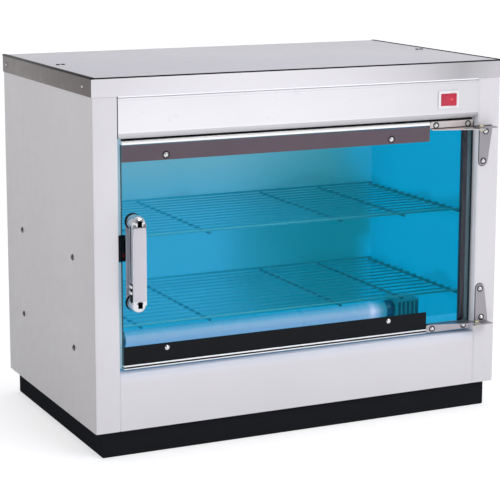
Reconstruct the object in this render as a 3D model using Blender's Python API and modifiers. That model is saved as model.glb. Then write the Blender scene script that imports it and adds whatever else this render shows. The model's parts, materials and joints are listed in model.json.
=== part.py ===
"""Countertop cabinet that keeps dishes clean under a germicidal lamp, behind a glass door.

Metres, +Z up. The front faces -Y, +X is to the viewer's right, and the origin is the middle
of the plinth's underside. Each sub-part is one object.
"""

import math

import bmesh
import bpy
from mathutils import Matrix, Vector

# Overall sizes
WIDTH = 0.600
DEPTH = 0.355
BODY_HEIGHT = 0.455
PLINTH_HEIGHT = 0.035

# Sheet and clearances
SHEET = 0.001
FIT = 0.0003
OVERRUN = 0.002
MERGE = 0.00001

# Plinth
PLINTH_SHEET = 0.0015
PLINTH_ROUNDING = 0.002
PLINTH_SIDE_INSET = 0.012
PLINTH_END_INSET = 0.008

# Cap and front frame
CAP_LIP = 0.024
CAP_ROUNDING = 0.0015
FOLD_RADIUS = 0.002
STILE_WIDTH = 0.035
JAMB_DEPTH = 0.025
RAIL_HEIGHT = 0.076
RAIL_EDGE_RADIUS = 0.003
HEADER_HEIGHT = 0.0545
HEADER_SEAM = 0.0007
RIGHT_SEAM = 0.001
HEADER_ROLL_RADIUS = 0.008
HEADER_TOP_RADIUS = 0.004
HEADER_TOP_BAND = 0.0055

# Well in the floor, where the lamp lies
WELL_SETBACK = 0.0985
WELL_DEPTH = 0.036

# Door
DOOR_LEFT_GAP = 0.008
DOOR_RIGHT_GAP = 0.003
DOOR_TOP_GAP = 0.003
DOOR_BOTTOM_GAP = 0.0025
GLASS_RECESS = 0.0087
GLASS_THICKNESS = 0.005
DOOR_SHEET = 0.0012
CHANNEL_LEG = 0.0055
TOP_STRIP_HEIGHT = 0.021
BOTTOM_STRIP_HEIGHT = 0.024
STRIP_SCREW_INSET = 0.060
STRIP_SCREW_EDGE = 0.0065

# Hinges
HINGE_PLATE_LENGTH = 0.070
HINGE_PLATE_HEIGHT = 0.0105
HINGE_SCREW_INSET = 0.0095
HINGE_CORNER_RADIUS = 0.003
PIVOT_SIDE_GAP = 0.0016
PIVOT_FORWARD = 0.0093
EYE_RADIUS = 0.006
FLANGE_TIP = 0.002
BRACKET_SHEET = 0.0015
BRACKET_GAP = 0.001
BRACKET_WIDTH = 0.020
BRACKET_TAPER = 0.006
BRACKET_LENGTH = 0.0555
BRACKET_SCREW_TOP = 0.0075
TONGUE_MARGIN = 0.0005
PIN_RADIUS = 0.002
PIN_HEAD_RADIUS = 0.0039
PIN_HEAD_HEIGHT = 0.0026
PIN_NUT_HEIGHT = 0.0024

# Screws
SCREW_SHANK_RADIUS = 0.0018
SCREW_HEAD_RADIUS = 0.0034
SCREW_HEAD_HEIGHT = 0.0019
SCREW_NUT_RADIUS = 0.0032
SCREW_NUT_HEIGHT = 0.0016
TURN_STEPS = 10

# Seal on the hinge-side jamb
SEAL_WIDTH = 0.015
SEAL_SHEET = 0.002
SEAL_LEG = 0.007
SEAL_DOOR_GAP = 0.0006
SEAL_END_INSET = 0.016

# Handle
HANDLE_WIDTH = 0.0192
HANDLE_LENGTH = 0.124
HANDLE_REACH = 0.0255
HANDLE_INSET = 0.0138
HANDLE_DROP = 0.0072
HANDLE_BAR_DEPTH = 0.011
GRIP_LENGTH = 0.096
GRIP_DEPTH = 0.0055
GRIP_ROUNDING = 0.0022
DOME_DEPTH = 0.004

# Catch
CATCH_WIDTH = 0.0155
CATCH_HEIGHT = 0.034
CATCH_DEPTH = 0.0085
CATCH_RISE = 0.009
CATCH_ROUNDING = 0.001
STRIKE_THICKNESS = 0.0015
STRIKE_INSET = 0.0015
STRIKE_MARGIN = 0.004
CATCH_GAP = 0.0004

# Shelves and their rails
UPPER_LEDGE_RISE = 0.152
LOWER_LEDGE_RISE = 0.032
LEDGE_LEG = 0.020
LEDGE_WIDTH = 0.012
LEDGE_SHEET = 0.0012
LEDGE_FRONT_SETBACK = 0.030
LEDGE_LENGTH = 0.310
LEDGE_SCREW_DROP = 0.012
LEDGE_SCREW_SETBACK = 0.0785
LEDGE_SCREW_SPACING = 0.205
SHELF_SIDE_GAP = 0.0045
SHELF_BACK_GAP = 0.008
SHELF_DEPTH = 0.254
ROD_RADIUS = 0.0019
WIRE_RADIUS = 0.0011
EDGE_WIRE_RADIUS = 0.0017
WIRE_SINK = 0.0005
WIRE_OVERHANG = 0.0012
WIRE_COUNT = 14
ROD_SHARES = (-1.0, -0.69, -0.345, 0.345, 0.69, 1.0)

# Lamp and its holders: the tube is a stock 436 mm one, and fills the way between the holders
LAMP_RADIUS = 0.01275
LAMP_CAP_RADIUS = 0.0131
LAMP_CAP_LENGTH = 0.014
LAMP_SETBACK = 0.050
LAMP_RISE = 0.040
LAMP_PIN_RADIUS = 0.0012
LAMP_PIN_LENGTH = 0.007
LAMP_PIN_SPACING = 0.0127
LAMP_STEPS = 16
HOLDER_LENGTH = 0.036
HOLDER_SIDE_GAP = 0.0434
HOLDER_WIDTH = 0.034
HOLDER_TOP_RISE = 0.016
HOLDER_BORE_RADIUS = 0.009
HOLDER_BORE_DEPTH = 0.0085
HOLDER_SLOT_WIDTH = 0.0034
HOLDER_RIB_COUNT = 5
HOLDER_RIB_DEPTH = 0.0025

# Switch
SWITCH_INSET = 0.0496
BEZEL_WIDTH = 0.0328
BEZEL_HEIGHT = 0.0244
BEZEL_THICKNESS = 0.0014
BEZEL_ROUNDING = 0.0008
SWITCH_BODY_MARGIN = 0.0022
SWITCH_BODY_DEPTH = 0.021
WELL_MARGIN = 0.0041
WELL_WALL = 0.0060
ROCKER_GAP = 0.0002
ROCKER_SETBACK = 0.0030
ROCKER_PROUD = 0.0052
ROCKER_DISH = 0.0018
ROCKER_BACK = 0.0055
ROCKER_TILT = math.radians(7)

# Electrical gear in the bay above the ceiling
BALLAST_LENGTH = 0.150
BALLAST_WIDTH = 0.042
BALLAST_HEIGHT = 0.036
BALLAST_OFFSET = 0.060
BALLAST_SETBACK = 0.120
BALLAST_ROUNDING = 0.002
STARTER_RADIUS = 0.0105
STARTER_HEIGHT = 0.036
STARTER_BASE_RADIUS = 0.015
STARTER_BASE_HEIGHT = 0.012
STARTER_GAP = 0.030

# Cord gland in the back panel
GLAND_SIDE_INSET = 0.060
GLAND_RISE = 0.038
GLAND_RADIUS = 0.011
GLAND_NECK_RADIUS = 0.008
GLAND_BORE_RADIUS = 0.0035
GLAND_FLANGE = 0.003
GLAND_NOSE = 0.010
GLAND_TAIL = 0.004

SHARP_ANGLE = math.radians(35)

# Places worked out from the sizes
HALF_WIDTH = WIDTH / 2
BODY_X = HALF_WIDTH - SHEET - FIT
INNER_X = BODY_X - SHEET
BODY_FRONT = -DEPTH / 2 + SHEET + FIT
BODY_BACK = DEPTH / 2 - SHEET - FIT
INNER_BACK = BODY_BACK - SHEET
BODY_BOTTOM = PLINTH_HEIGHT
TOP = PLINTH_HEIGHT + BODY_HEIGHT
SHELL_TOP = TOP - SHEET - FIT
DOORWAY_X = HALF_WIDTH - STILE_WIDTH
JAMB_BACK = BODY_FRONT + JAMB_DEPTH
LEDGE_TOP = BODY_BOTTOM + RAIL_HEIGHT
HEADER_BOTTOM = TOP - CAP_LIP - HEADER_HEIGHT
WELL_FRONT = BODY_FRONT + WELL_SETBACK
WELL_FLOOR = LEDGE_TOP - WELL_DEPTH

DOOR_LEFT = -DOORWAY_X + DOOR_LEFT_GAP
DOOR_RIGHT = DOORWAY_X - DOOR_RIGHT_GAP
DOOR_BOTTOM = LEDGE_TOP + DOOR_BOTTOM_GAP
DOOR_TOP = HEADER_BOTTOM - DOOR_TOP_GAP
DOOR_MIDDLE = (DOOR_BOTTOM + DOOR_TOP) / 2
GLASS_FRONT = BODY_FRONT + GLASS_RECESS
GLASS_BACK = GLASS_FRONT + GLASS_THICKNESS
SKIN_FRONT = GLASS_FRONT - FIT - DOOR_SHEET
SKIN_BACK = GLASS_BACK + FIT + DOOR_SHEET
HINGE_PLATE_LEFT = DOOR_RIGHT - HINGE_PLATE_LENGTH
TRIM_RIGHT = HINGE_PLATE_LEFT - FIT

PIVOT_X = DOORWAY_X - PIVOT_SIDE_GAP
PIVOT_Y = BODY_FRONT - PIVOT_FORWARD

UPPER_LEDGE = LEDGE_TOP + UPPER_LEDGE_RISE
LOWER_LEDGE = LEDGE_TOP + LOWER_LEDGE_RISE
HOLDER_FACE = INNER_X - HOLDER_SIDE_GAP - HOLDER_LENGTH
LAMP_LENGTH = (HOLDER_FACE - FIT) * 2
LAMP_Y = WELL_FRONT + LAMP_SETBACK
LAMP_Z = WELL_FLOOR + LAMP_RISE
HEADER_MIDDLE = HEADER_BOTTOM + HEADER_HEIGHT / 2
SWITCH_X = DOORWAY_X - SWITCH_INSET
ROCKER_Y = BODY_FRONT - FIT - BEZEL_THICKNESS + ROCKER_SETBACK
BAY_FLOOR = HEADER_BOTTOM + SHEET


def linear(channel):
    """One channel of a screen colour as linear light."""
    if channel <= 0.04045:
        return channel / 12.92
    return ((channel + 0.055) / 1.055) ** 2.4


def paint(name, red, green, blue, roughness, metallic=0.0, alpha=1.0):
    material = bpy.data.materials.new(name)
    material.use_nodes = True
    shader = material.node_tree.nodes["Principled BSDF"]
    colour = [linear(value / 255) for value in (red, green, blue)] + [1.0]
    shader.inputs["Base Color"].default_value = colour
    shader.inputs["Roughness"].default_value = roughness
    shader.inputs["Metallic"].default_value = metallic
    shader.inputs["Alpha"].default_value = alpha
    material.diffuse_color = colour[:3] + [alpha]
    return material


def new_collection(name):
    collection = bpy.data.collections.new(name)
    bpy.context.scene.collection.children.link(collection)
    return collection


def add(name, mesh, material, place=(0, 0, 0), joint=None, turn=(0, 0, 0)):
    """Puts a mesh in the scene at a place in the world, carried by joint if one is given."""
    obj = bpy.data.objects.new(name, mesh)
    PARTS.objects.link(obj)
    mesh.materials.append(material)
    obj.rotation_euler = turn
    obj.location = place
    if joint:
        obj.parent = joint
        obj.location = Vector(place) - joint.location
    return obj


def joint_empty(name, place):
    empty = bpy.data.objects.new(name, None)
    PARTS.objects.link(empty)
    empty.location = place
    return empty


def box(name, low, high, material, joint=None):
    bm = bmesh.new()
    size = Vector(high) - Vector(low)
    bmesh.ops.create_cube(bm, size=1.0, matrix=Matrix.Diagonal((*size, 1.0)))
    mesh = bpy.data.meshes.new(name)
    bm.to_mesh(mesh)
    bm.free()
    return add(name, mesh, material, (Vector(high) + Vector(low)) / 2, joint)


def round_edges(obj, width, segments=2):
    bevel = obj.modifiers.new("Rounded edges", "BEVEL")
    bevel.width = width
    bevel.segments = segments
    bevel.limit_method = "ANGLE"
    return obj


def tray(name, low, high, open_side, thickness, rounding, material):
    """A box of sheet with one side open: open_side is the Z of its outward normal."""
    obj = box(name, low, high, material)
    bm = bmesh.new()
    bm.from_mesh(obj.data)
    bm.normal_update()
    lids = [face for face in bm.faces if face.normal.z * open_side > 0.5]
    bmesh.ops.delete(bm, geom=lids, context="FACES")
    bm.to_mesh(obj.data)
    bm.free()
    round_edges(obj, rounding)
    thicken(obj, thickness, -1.0)
    return obj


def thicken(obj, thickness, offset):
    solidify = obj.modifiers.new("Sheet", "SOLIDIFY")
    solidify.thickness = thickness
    solidify.offset = offset
    solidify.use_even_offset = True


def folded_sheet(name, plane, path, span, thickness, inside, material, joint=None):
    """Sheet folded along path, whose points are its outer face in the named plane.

    It runs along the third axis over span. inside is 1 where the metal lies to the left of
    the path's heading, and -1 where it lies to the right.
    """
    order = {"XY": (0, 1, 2), "YZ": (2, 0, 1), "XZ": (0, 2, 1)}[plane]
    middle = sum(span) / 2
    bm = bmesh.new()

    def point(u, v, w):
        return Vector([(u, v, w)[index] for index in order])

    low = [bm.verts.new(point(u, v, span[0] - middle)) for u, v in path]
    high = [bm.verts.new(point(u, v, span[1] - middle)) for u, v in path]
    for index in range(len(path) - 1):
        bm.faces.new((low[index], low[index + 1], high[index + 1], high[index]))
    bm.normal_update()
    heading = Vector(path[1]) - Vector(path[0])
    left = point(-heading.y, heading.x, 0)
    bm.faces.ensure_lookup_table()
    towards_left = bm.faces[0].normal.dot(left) > 0
    mesh = bpy.data.meshes.new(name)
    bm.to_mesh(mesh)
    bm.free()
    obj = add(name, mesh, material, point(0, 0, middle), joint)
    thicken(obj, thickness, 1.0 if towards_left == (inside > 0) else -1.0)
    return obj


def arc(centre, radius, start, end, steps):
    """Points on an arc, angles in degrees."""
    angles = [math.radians(start + (end - start) * i / steps) for i in range(steps + 1)]
    return [(centre[0] + radius * math.cos(a), centre[1] + radius * math.sin(a)) for a in angles]


def bake(obj, smooth=True):
    """Replaces the object's mesh by its evaluated one, with its points welded."""
    graph = bpy.context.evaluated_depsgraph_get()
    mesh = bpy.data.meshes.new_from_object(obj.evaluated_get(graph))
    bm = bmesh.new()
    bm.from_mesh(mesh)
    bmesh.ops.remove_doubles(bm, verts=bm.verts, dist=MERGE)
    bmesh.ops.recalc_face_normals(bm, faces=bm.faces)
    bm.to_mesh(mesh)
    bm.free()
    obj.modifiers.clear()
    obj.data = mesh
    if smooth:
        mesh.shade_smooth()
        mesh.set_sharp_from_angle(angle=SHARP_ANGLE)
    return obj


def turned(name, profile, material, place, direction=(0, 0, 1), joint=None, steps=TURN_STEPS):
    """A solid of revolution: profile is (radius, height) from its top down its outer side."""
    bm = bmesh.new()
    points = [bm.verts.new((radius, 0, height)) for radius, height in profile]
    for first, second in zip(points, points[1:]):
        bm.edges.new((first, second))
    mesh = bpy.data.meshes.new(name)
    bm.to_mesh(mesh)
    bm.free()
    turn = Vector((0, 0, 1)).rotation_difference(Vector(direction)).to_euler()
    obj = add(name, mesh, material, place, joint, turn)
    screw = obj.modifiers.new("Turned", "SCREW")
    screw.steps = steps
    screw.render_steps = steps
    screw.use_merge_vertices = True
    screw.merge_threshold = MERGE
    return bake(obj)


def plate(name, outline, thickness, material, place, turn=(0, 0, 0), joint=None):
    """A flat plate of the outline, centred on place through its thickness."""
    curve = bpy.data.curves.new(name, "CURVE")
    curve.dimensions = "2D"
    curve.fill_mode = "BOTH"
    curve.extrude = thickness / 2
    spline = curve.splines.new("POLY")
    spline.points.add(len(outline) - 1)
    for point, (u, v) in zip(spline.points, outline):
        point.co = (u, v, 0, 1)
    spline.use_cyclic_u = True
    source = bpy.data.objects.new(name + "_outline", curve)
    PARTS.objects.link(source)
    graph = bpy.context.evaluated_depsgraph_get()
    mesh = bpy.data.meshes.new_from_object(source.evaluated_get(graph))
    bpy.data.objects.remove(source)
    obj = add(name, mesh, material, place, joint, turn)
    mesh.materials.clear()
    mesh.materials.append(material)
    return bake(obj, smooth=False)


def as_tool(obj):
    """Makes an object a cutter or a piece to join: out of the render, drawn as wire."""
    PARTS.objects.unlink(obj)
    TOOLS.objects.link(obj)
    obj.hide_render = True
    obj.display_type = "WIRE"
    return obj


def combine(obj, tool, operation):
    boolean = obj.modifiers.new(operation.title() + " " + tool.name, "BOOLEAN")
    boolean.operation = operation
    boolean.object = as_tool(tool)
    return obj


def cut(obj, tool):
    return combine(obj, tool, "DIFFERENCE")


def join(obj, tool):
    return combine(obj, tool, "UNION")


def hole(obj, radius, place, direction, length, joint=None):
    """A round hole of the given length, centred on place."""
    profile = [(0, length / 2), (radius, length / 2), (radius, -length / 2), (0, -length / 2)]
    return cut(obj, turned(obj.name + "_hole", profile, TOOL_INK, place, direction, joint))


def screw(name, place, direction, grip, material, joint=None):
    """A domed screw with its nut: place is on the face under the head, grip what it clamps."""
    head = SCREW_HEAD_HEIGHT + FIT
    shoulder_share = 0.72
    end = -grip - FIT
    profile = [
        (0, head),
        (SCREW_HEAD_RADIUS * shoulder_share, FIT + SCREW_HEAD_HEIGHT * shoulder_share),
        (SCREW_HEAD_RADIUS, FIT),
        (SCREW_SHANK_RADIUS, FIT),
        (SCREW_SHANK_RADIUS, end),
        (SCREW_NUT_RADIUS, end),
        (SCREW_NUT_RADIUS, end - SCREW_NUT_HEIGHT),
        (0, end - SCREW_NUT_HEIGHT),
    ]
    return turned(name, profile, material, place, direction, joint)


def screw_hole(obj, place, direction, grip, joint=None):
    """The hole for that screw, through everything it clamps."""
    middle = Vector(place) - Vector(direction) * grip / 2
    return hole(obj, SCREW_SHANK_RADIUS + FIT, middle, direction, grip + OVERRUN, joint)


def make_plinth():
    half_x = HALF_WIDTH - PLINTH_SIDE_INSET
    half_y = DEPTH / 2 - PLINTH_END_INSET
    low = (-half_x, -half_y, 0)
    high = (half_x, half_y, PLINTH_HEIGHT - FIT)
    tray("plinth_base", low, high, 1, PLINTH_SHEET, PLINTH_ROUNDING, BLACK_PAINT)


def make_cap():
    low = (-HALF_WIDTH, -DEPTH / 2, TOP - CAP_LIP)
    tray("top_cap", low, (HALF_WIDTH, DEPTH / 2, TOP), -1, SHEET, CAP_ROUNDING, STAINLESS)


def ledge_screw_places(side):
    """Where the screws go through a side panel: side is 1 on the right, -1 on the left."""
    for ledge, shelf in ((UPPER_LEDGE, "upper"), (LOWER_LEDGE, "lower")):
        for step, end in enumerate(("front", "back")):
            y = BODY_FRONT + LEDGE_SCREW_SETBACK + step * LEDGE_SCREW_SPACING
            yield f"{shelf}_{end}", Vector((side * BODY_X, y, ledge - LEDGE_SCREW_DROP))


def make_side_panel(side):
    name = "right" if side > 0 else "left"
    fold = FOLD_RADIUS
    path = [(BODY_X, BODY_BACK)]
    path += arc((BODY_X - fold, BODY_FRONT + fold), fold, 0, -90, 4)
    path += arc((DOORWAY_X + fold, BODY_FRONT + fold), fold, -90, -180, 4)
    path += [(DOORWAY_X, JAMB_BACK)]
    path = [(side * x, y) for x, y in path]
    span = (BODY_BOTTOM, SHELL_TOP)
    panel = folded_sheet(name + "_side_panel", "XY", path, span, SHEET, -side, WHITE_PAINT)
    grip = SHEET + FIT + LEDGE_SHEET
    for place_name, place in ledge_screw_places(side):
        screw_hole(panel, place, (side, 0, 0), grip)
        screw(f"rail_screw_{name}_{place_name}", place, (side, 0, 0), grip, STEEL)
    if side > 0:
        for end in (1, -1):
            for place in bracket_screw_places(end):
                screw_hole(panel, place, (0, -1, 0), BRACKET_SHEET + FIT + SHEET)
    return panel


def make_back_panel():
    half = INNER_X - FIT
    low = (-half, INNER_BACK, BODY_BOTTOM)
    panel = box("back_panel", low, (half, BODY_BACK, SHELL_TOP), WHITE_PAINT)
    place = (HALF_WIDTH - GLAND_SIDE_INSET, (INNER_BACK + BODY_BACK) / 2, BAY_FLOOR + GLAND_RISE)
    hole(panel, GLAND_NECK_RADIUS + FIT, place, (0, 1, 0), SHEET + OVERRUN)


def make_gland():
    outer = GLAND_FLANGE + FIT
    inner = -SHEET - FIT
    profile = [
        (GLAND_BORE_RADIUS, outer + GLAND_NOSE),
        (GLAND_NECK_RADIUS, outer + GLAND_NOSE),
        (GLAND_RADIUS, outer),
        (GLAND_RADIUS, FIT),
        (GLAND_NECK_RADIUS, FIT),
        (GLAND_NECK_RADIUS, inner),
        (GLAND_RADIUS, inner),
        (GLAND_RADIUS, inner - GLAND_TAIL),
        (GLAND_BORE_RADIUS, inner - GLAND_TAIL),
        (GLAND_BORE_RADIUS, outer + GLAND_NOSE),
    ]
    place = (HALF_WIDTH - GLAND_SIDE_INSET, BODY_BACK, BAY_FLOOR + GLAND_RISE)
    turned("cord_gland", profile, BLACK_RUBBER, place, (0, 1, 0))


def make_bottom_rail():
    edge = RAIL_EDGE_RADIUS
    path = [(JAMB_BACK, BODY_BOTTOM), (BODY_FRONT, BODY_BOTTOM)]
    path += arc((BODY_FRONT + edge, LEDGE_TOP - edge), edge, 180, 90, 4)
    path += [(JAMB_BACK, LEDGE_TOP)]
    span = (-DOORWAY_X + FIT, DOORWAY_X - RIGHT_SEAM)
    folded_sheet("bottom_rail", "YZ", path, span, SHEET, -1, WHITE_PAINT)


def make_base_pan():
    half = INNER_X - FIT
    low = (-half, JAMB_BACK + FIT, BODY_BOTTOM)
    box("base_pan", low, (half, INNER_BACK - FIT, BODY_BOTTOM + SHEET), GALVANISED)


def make_floor_pan():
    path = [
        (JAMB_BACK + FIT, LEDGE_TOP),
        (WELL_FRONT, LEDGE_TOP),
        (WELL_FRONT, WELL_FLOOR),
        (INNER_BACK - FIT, WELL_FLOOR),
    ]
    half = INNER_X - FIT
    folded_sheet("floor_pan", "YZ", path, (-half, half), SHEET, -1, LINER)


def make_ceiling():
    half = INNER_X - FIT
    low = (-half, JAMB_BACK + FIT, HEADER_BOTTOM)
    box("inner_ceiling", low, (half, INNER_BACK - FIT, BAY_FLOOR), LINER)


def make_header():
    roll = HEADER_ROLL_RADIUS
    top = HEADER_TOP_RADIUS
    band = TOP - CAP_LIP - HEADER_TOP_BAND
    path = [(JAMB_BACK, HEADER_BOTTOM)]
    path += arc((BODY_FRONT + roll, HEADER_BOTTOM + roll), roll, 270, 180, 5)
    path += arc((BODY_FRONT + top, band), top, 180, 90, 4)
    path += [(BODY_FRONT + top, SHELL_TOP)]
    span = (-DOORWAY_X + HEADER_SEAM, DOORWAY_X - RIGHT_SEAM)
    header = folded_sheet("header_panel", "YZ", path, span, SHEET, -1, WHITE_PAINT)
    half_x = BEZEL_WIDTH / 2 - SWITCH_BODY_MARGIN + FIT
    half_z = BEZEL_HEIGHT / 2 - SWITCH_BODY_MARGIN + FIT
    low = (SWITCH_X - half_x, BODY_FRONT - OVERRUN, HEADER_MIDDLE - half_z)
    high = (SWITCH_X + half_x, BODY_FRONT + SHEET + OVERRUN, HEADER_MIDDLE + half_z)
    cut(header, box("header_switch_hole", low, high, TOOL_INK))


def make_seal():
    side = DOORWAY_X - FIT
    front = GLASS_BACK + SEAL_DOOR_GAP
    path = [(side, front + SEAL_LEG), (side, front), (side - SEAL_WIDTH, front)]
    span = (LEDGE_TOP + SEAL_END_INSET, HEADER_BOTTOM - SEAL_END_INSET)
    folded_sheet("jamb_seal", "XY", path, span, SEAL_SHEET, -1, BLACK_RUBBER)


def make_shelf_rail(side, ledge, shelf):
    name = f"{shelf}_rail_{'right' if side > 0 else 'left'}"
    wall = side * (INNER_X - FIT)
    path = [(wall, ledge - LEDGE_LEG), (wall, ledge), (wall - side * LEDGE_WIDTH, ledge)]
    front = BODY_FRONT + LEDGE_FRONT_SETBACK
    span = (front, front + LEDGE_LENGTH)
    rail = folded_sheet(name, "XZ", path, span, LEDGE_SHEET, side, STEEL)
    for place_name, place in ledge_screw_places(side):
        if place_name.startswith(shelf):
            screw_hole(rail, place, (side, 0, 0), SHEET + FIT + LEDGE_SHEET)


def bar_between(bm, start, end, radius, sides, turn):
    """A straight bar of the given number of sides between two points."""
    start, end = Vector(start), Vector(end)
    along = (end - start).normalized()
    across = along.cross(Vector((0, 0, 1)))
    frame = Matrix((across, along.cross(across), along)).transposed().to_4x4()
    frame.translation = (start + end) / 2
    matrix = frame @ Matrix.Rotation(turn, 4, "Z")
    bmesh.ops.create_cone(
        bm,
        cap_ends=True,
        segments=sides,
        radius1=radius,
        radius2=radius,
        depth=(end - start).length,
        matrix=matrix,
    )


def bars_object(name, bars, radius, sides, turn, material, place, joint):
    bm = bmesh.new()
    for start, end in bars:
        bar_between(bm, start, end, radius, sides, turn)
    mesh = bpy.data.meshes.new(name)
    bm.to_mesh(mesh)
    bm.free()
    return add(name, mesh, material, place, joint)


def make_shelf(name, ledge):
    """A wire shelf: rods from front to back, and wires across them, welded where they cross."""
    half = INNER_X - SHELF_SIDE_GAP - ROD_RADIUS
    back = INNER_BACK - SHELF_BACK_GAP
    front = back - SHELF_DEPTH
    rod_sides = 6
    flat = ROD_RADIUS * math.cos(math.pi / rod_sides)
    rod_z = ledge + FIT + flat
    place = Vector((0, (front + back) / 2, rod_z))
    joint = joint_empty(name + "_slide", place)
    reach = SHELF_DEPTH / 2 + EDGE_WIRE_RADIUS + WIRE_OVERHANG
    rods = [((half * share, -reach, 0), (half * share, reach, 0)) for share in ROD_SHARES]
    across = half + ROD_RADIUS + WIRE_OVERHANG
    wires = []
    edges = []
    for index in range(WIRE_COUNT):
        y = -SHELF_DEPTH / 2 + SHELF_DEPTH * index / (WIRE_COUNT - 1)
        at_edge = index in (0, WIRE_COUNT - 1)
        z = flat + (EDGE_WIRE_RADIUS if at_edge else WIRE_RADIUS) - WIRE_SINK
        (edges if at_edge else wires).append(((-across, y, z), (across, y, z)))
    shelf = bars_object(name, rods, ROD_RADIUS, rod_sides, math.pi / rod_sides, WIRE, place, joint)
    join(shelf, bars_object(name + "_wires", wires, WIRE_RADIUS, 4, 0, WIRE, place, joint))
    join(shelf, bars_object(name + "_edges", edges, EDGE_WIRE_RADIUS, 6, 0, WIRE, place, joint))
    return shelf


def make_lamp():
    place = Vector((0, LAMP_Y, LAMP_Z))
    joint = joint_empty("lamp_twist", place)
    half = LAMP_LENGTH / 2
    shoulder = half - LAMP_CAP_LENGTH
    profile = [
        (0, half),
        (LAMP_CAP_RADIUS, half),
        (LAMP_CAP_RADIUS, shoulder),
        (LAMP_RADIUS, shoulder),
        (LAMP_RADIUS, -shoulder),
        (LAMP_CAP_RADIUS, -shoulder),
        (LAMP_CAP_RADIUS, -half),
        (0, -half),
    ]
    lamp = turned("uv_lamp", profile, LAMP_GLASS, place, (1, 0, 0), joint, LAMP_STEPS)
    root = WIRE_SINK
    pins = []
    for end in (1, -1):
        for side in (1, -1):
            y = side * LAMP_PIN_SPACING / 2
            tip = half + LAMP_PIN_LENGTH
            pins.append(((end * (half - root), y, 0), (end * tip, y, 0)))
    join(lamp, bars_object("uv_lamp_pins", pins, LAMP_PIN_RADIUS, 8, 0, STEEL, place, joint))


def make_lamp_holder(side):
    """A ribbed block with a round bore for the lamp's pins and a slot that lets them in."""
    name = "lamp_holder_" + ("right" if side > 0 else "left")
    inner = HOLDER_FACE
    outline = []
    pitch = HOLDER_LENGTH / (2 * HOLDER_RIB_COUNT - 1)
    half = HOLDER_WIDTH / 2
    for direction in (-1, 1):
        edge = []
        for index in range(2 * HOLDER_RIB_COUNT - 1):
            depth = half - (HOLDER_RIB_DEPTH if index % 2 else 0)
            edge += [(inner + pitch * index, depth), (inner + pitch * (index + 1), depth)]
        ordered = edge if direction < 0 else edge[::-1]
        outline += [(side * u, direction * v) for u, v in ordered]
    bottom = WELL_FLOOR + FIT
    top = LAMP_Z + HOLDER_TOP_RISE
    place = (0, LAMP_Y, (bottom + top) / 2)
    holder = plate(name, outline, top - bottom, PORCELAIN, place)
    bore = HOLDER_BORE_DEPTH + OVERRUN
    middle = side * (inner + HOLDER_BORE_DEPTH - bore / 2)
    hole(holder, HOLDER_BORE_RADIUS, (middle, LAMP_Y, LAMP_Z), (1, 0, 0), bore)
    ends = sorted((side * (inner - OVERRUN), side * (inner + HOLDER_BORE_DEPTH - FIT)))
    low = (ends[0], LAMP_Y - HOLDER_SLOT_WIDTH / 2, LAMP_Z)
    high = (ends[1], LAMP_Y + HOLDER_SLOT_WIDTH / 2, top + OVERRUN)
    cut(holder, box(name + "_slot", low, high, TOOL_INK))


def make_electrical_gear():
    floor = BAY_FLOOR + FIT
    left = -BALLAST_LENGTH / 2 - BALLAST_OFFSET
    right = left + BALLAST_LENGTH
    front = BODY_FRONT + BALLAST_SETBACK
    back = front + BALLAST_WIDTH
    high = (right, back, floor + BALLAST_HEIGHT)
    round_edges(box("ballast", (left, front, floor), high, STEEL), BALLAST_ROUNDING, 1)
    profile = [
        (0, STARTER_BASE_HEIGHT + STARTER_HEIGHT),
        (STARTER_RADIUS, STARTER_BASE_HEIGHT + STARTER_HEIGHT),
        (STARTER_RADIUS, STARTER_BASE_HEIGHT),
        (STARTER_BASE_RADIUS, STARTER_BASE_HEIGHT),
        (STARTER_BASE_RADIUS, 0),
        (0, 0),
    ]
    middle = (front + back) / 2
    starter_x = right + STARTER_GAP
    turned("starter", profile, PORCELAIN, (starter_x, middle, floor))


def make_switch():
    front = BODY_FRONT - FIT - BEZEL_THICKNESS
    half_x = BEZEL_WIDTH / 2
    half_z = BEZEL_HEIGHT / 2
    low = (SWITCH_X - half_x, front, HEADER_MIDDLE - half_z)
    high = (SWITCH_X + half_x, BODY_FRONT - FIT, HEADER_MIDDLE + half_z)
    bezel = round_edges(box("switch_bezel", low, high, WHITE_PLASTIC), BEZEL_ROUNDING, 1)
    body_x = half_x - SWITCH_BODY_MARGIN
    body_z = half_z - SWITCH_BODY_MARGIN
    back = BODY_FRONT + SWITCH_BODY_DEPTH
    low = (SWITCH_X - body_x, BODY_FRONT - FIT - BEZEL_THICKNESS / 2, HEADER_MIDDLE - body_z)
    high = (SWITCH_X + body_x, back, HEADER_MIDDLE + body_z)
    join(bezel, box("switch_body", low, high, TOOL_INK))
    well_x = half_x - WELL_MARGIN
    well_z = half_z - WELL_MARGIN + ROCKER_GAP
    low = (SWITCH_X - well_x, front - OVERRUN, HEADER_MIDDLE - well_z)
    high = (SWITCH_X + well_x, back - WELL_WALL, HEADER_MIDDLE + well_z)
    cut(bezel, box("switch_well", low, high, TOOL_INK))


def make_rocker():
    """The rocker is a slice of a round bar about its axis, with a dished face."""
    joint = joint_empty("switch_rocker_axis", (SWITCH_X, ROCKER_Y, HEADER_MIDDLE))
    radius = BEZEL_WIDTH / 2 - WELL_MARGIN - ROCKER_GAP
    front = math.degrees(math.asin(ROCKER_PROUD / radius))
    back = math.degrees(math.asin(ROCKER_BACK / radius))
    outline = arc((0, 0), radius, -front, back, 4)
    outline += arc((0, 0), radius, 180 - back, 180 + front, 4)
    outline += [(0, -ROCKER_PROUD + ROCKER_DISH)]
    height = BEZEL_HEIGHT - WELL_MARGIN * 2
    rocker = plate("switch_rocker", outline, height, RED_PLASTIC, joint.location, joint=joint)
    rocker.rotation_euler = (0, 0, -ROCKER_TILT)


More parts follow.
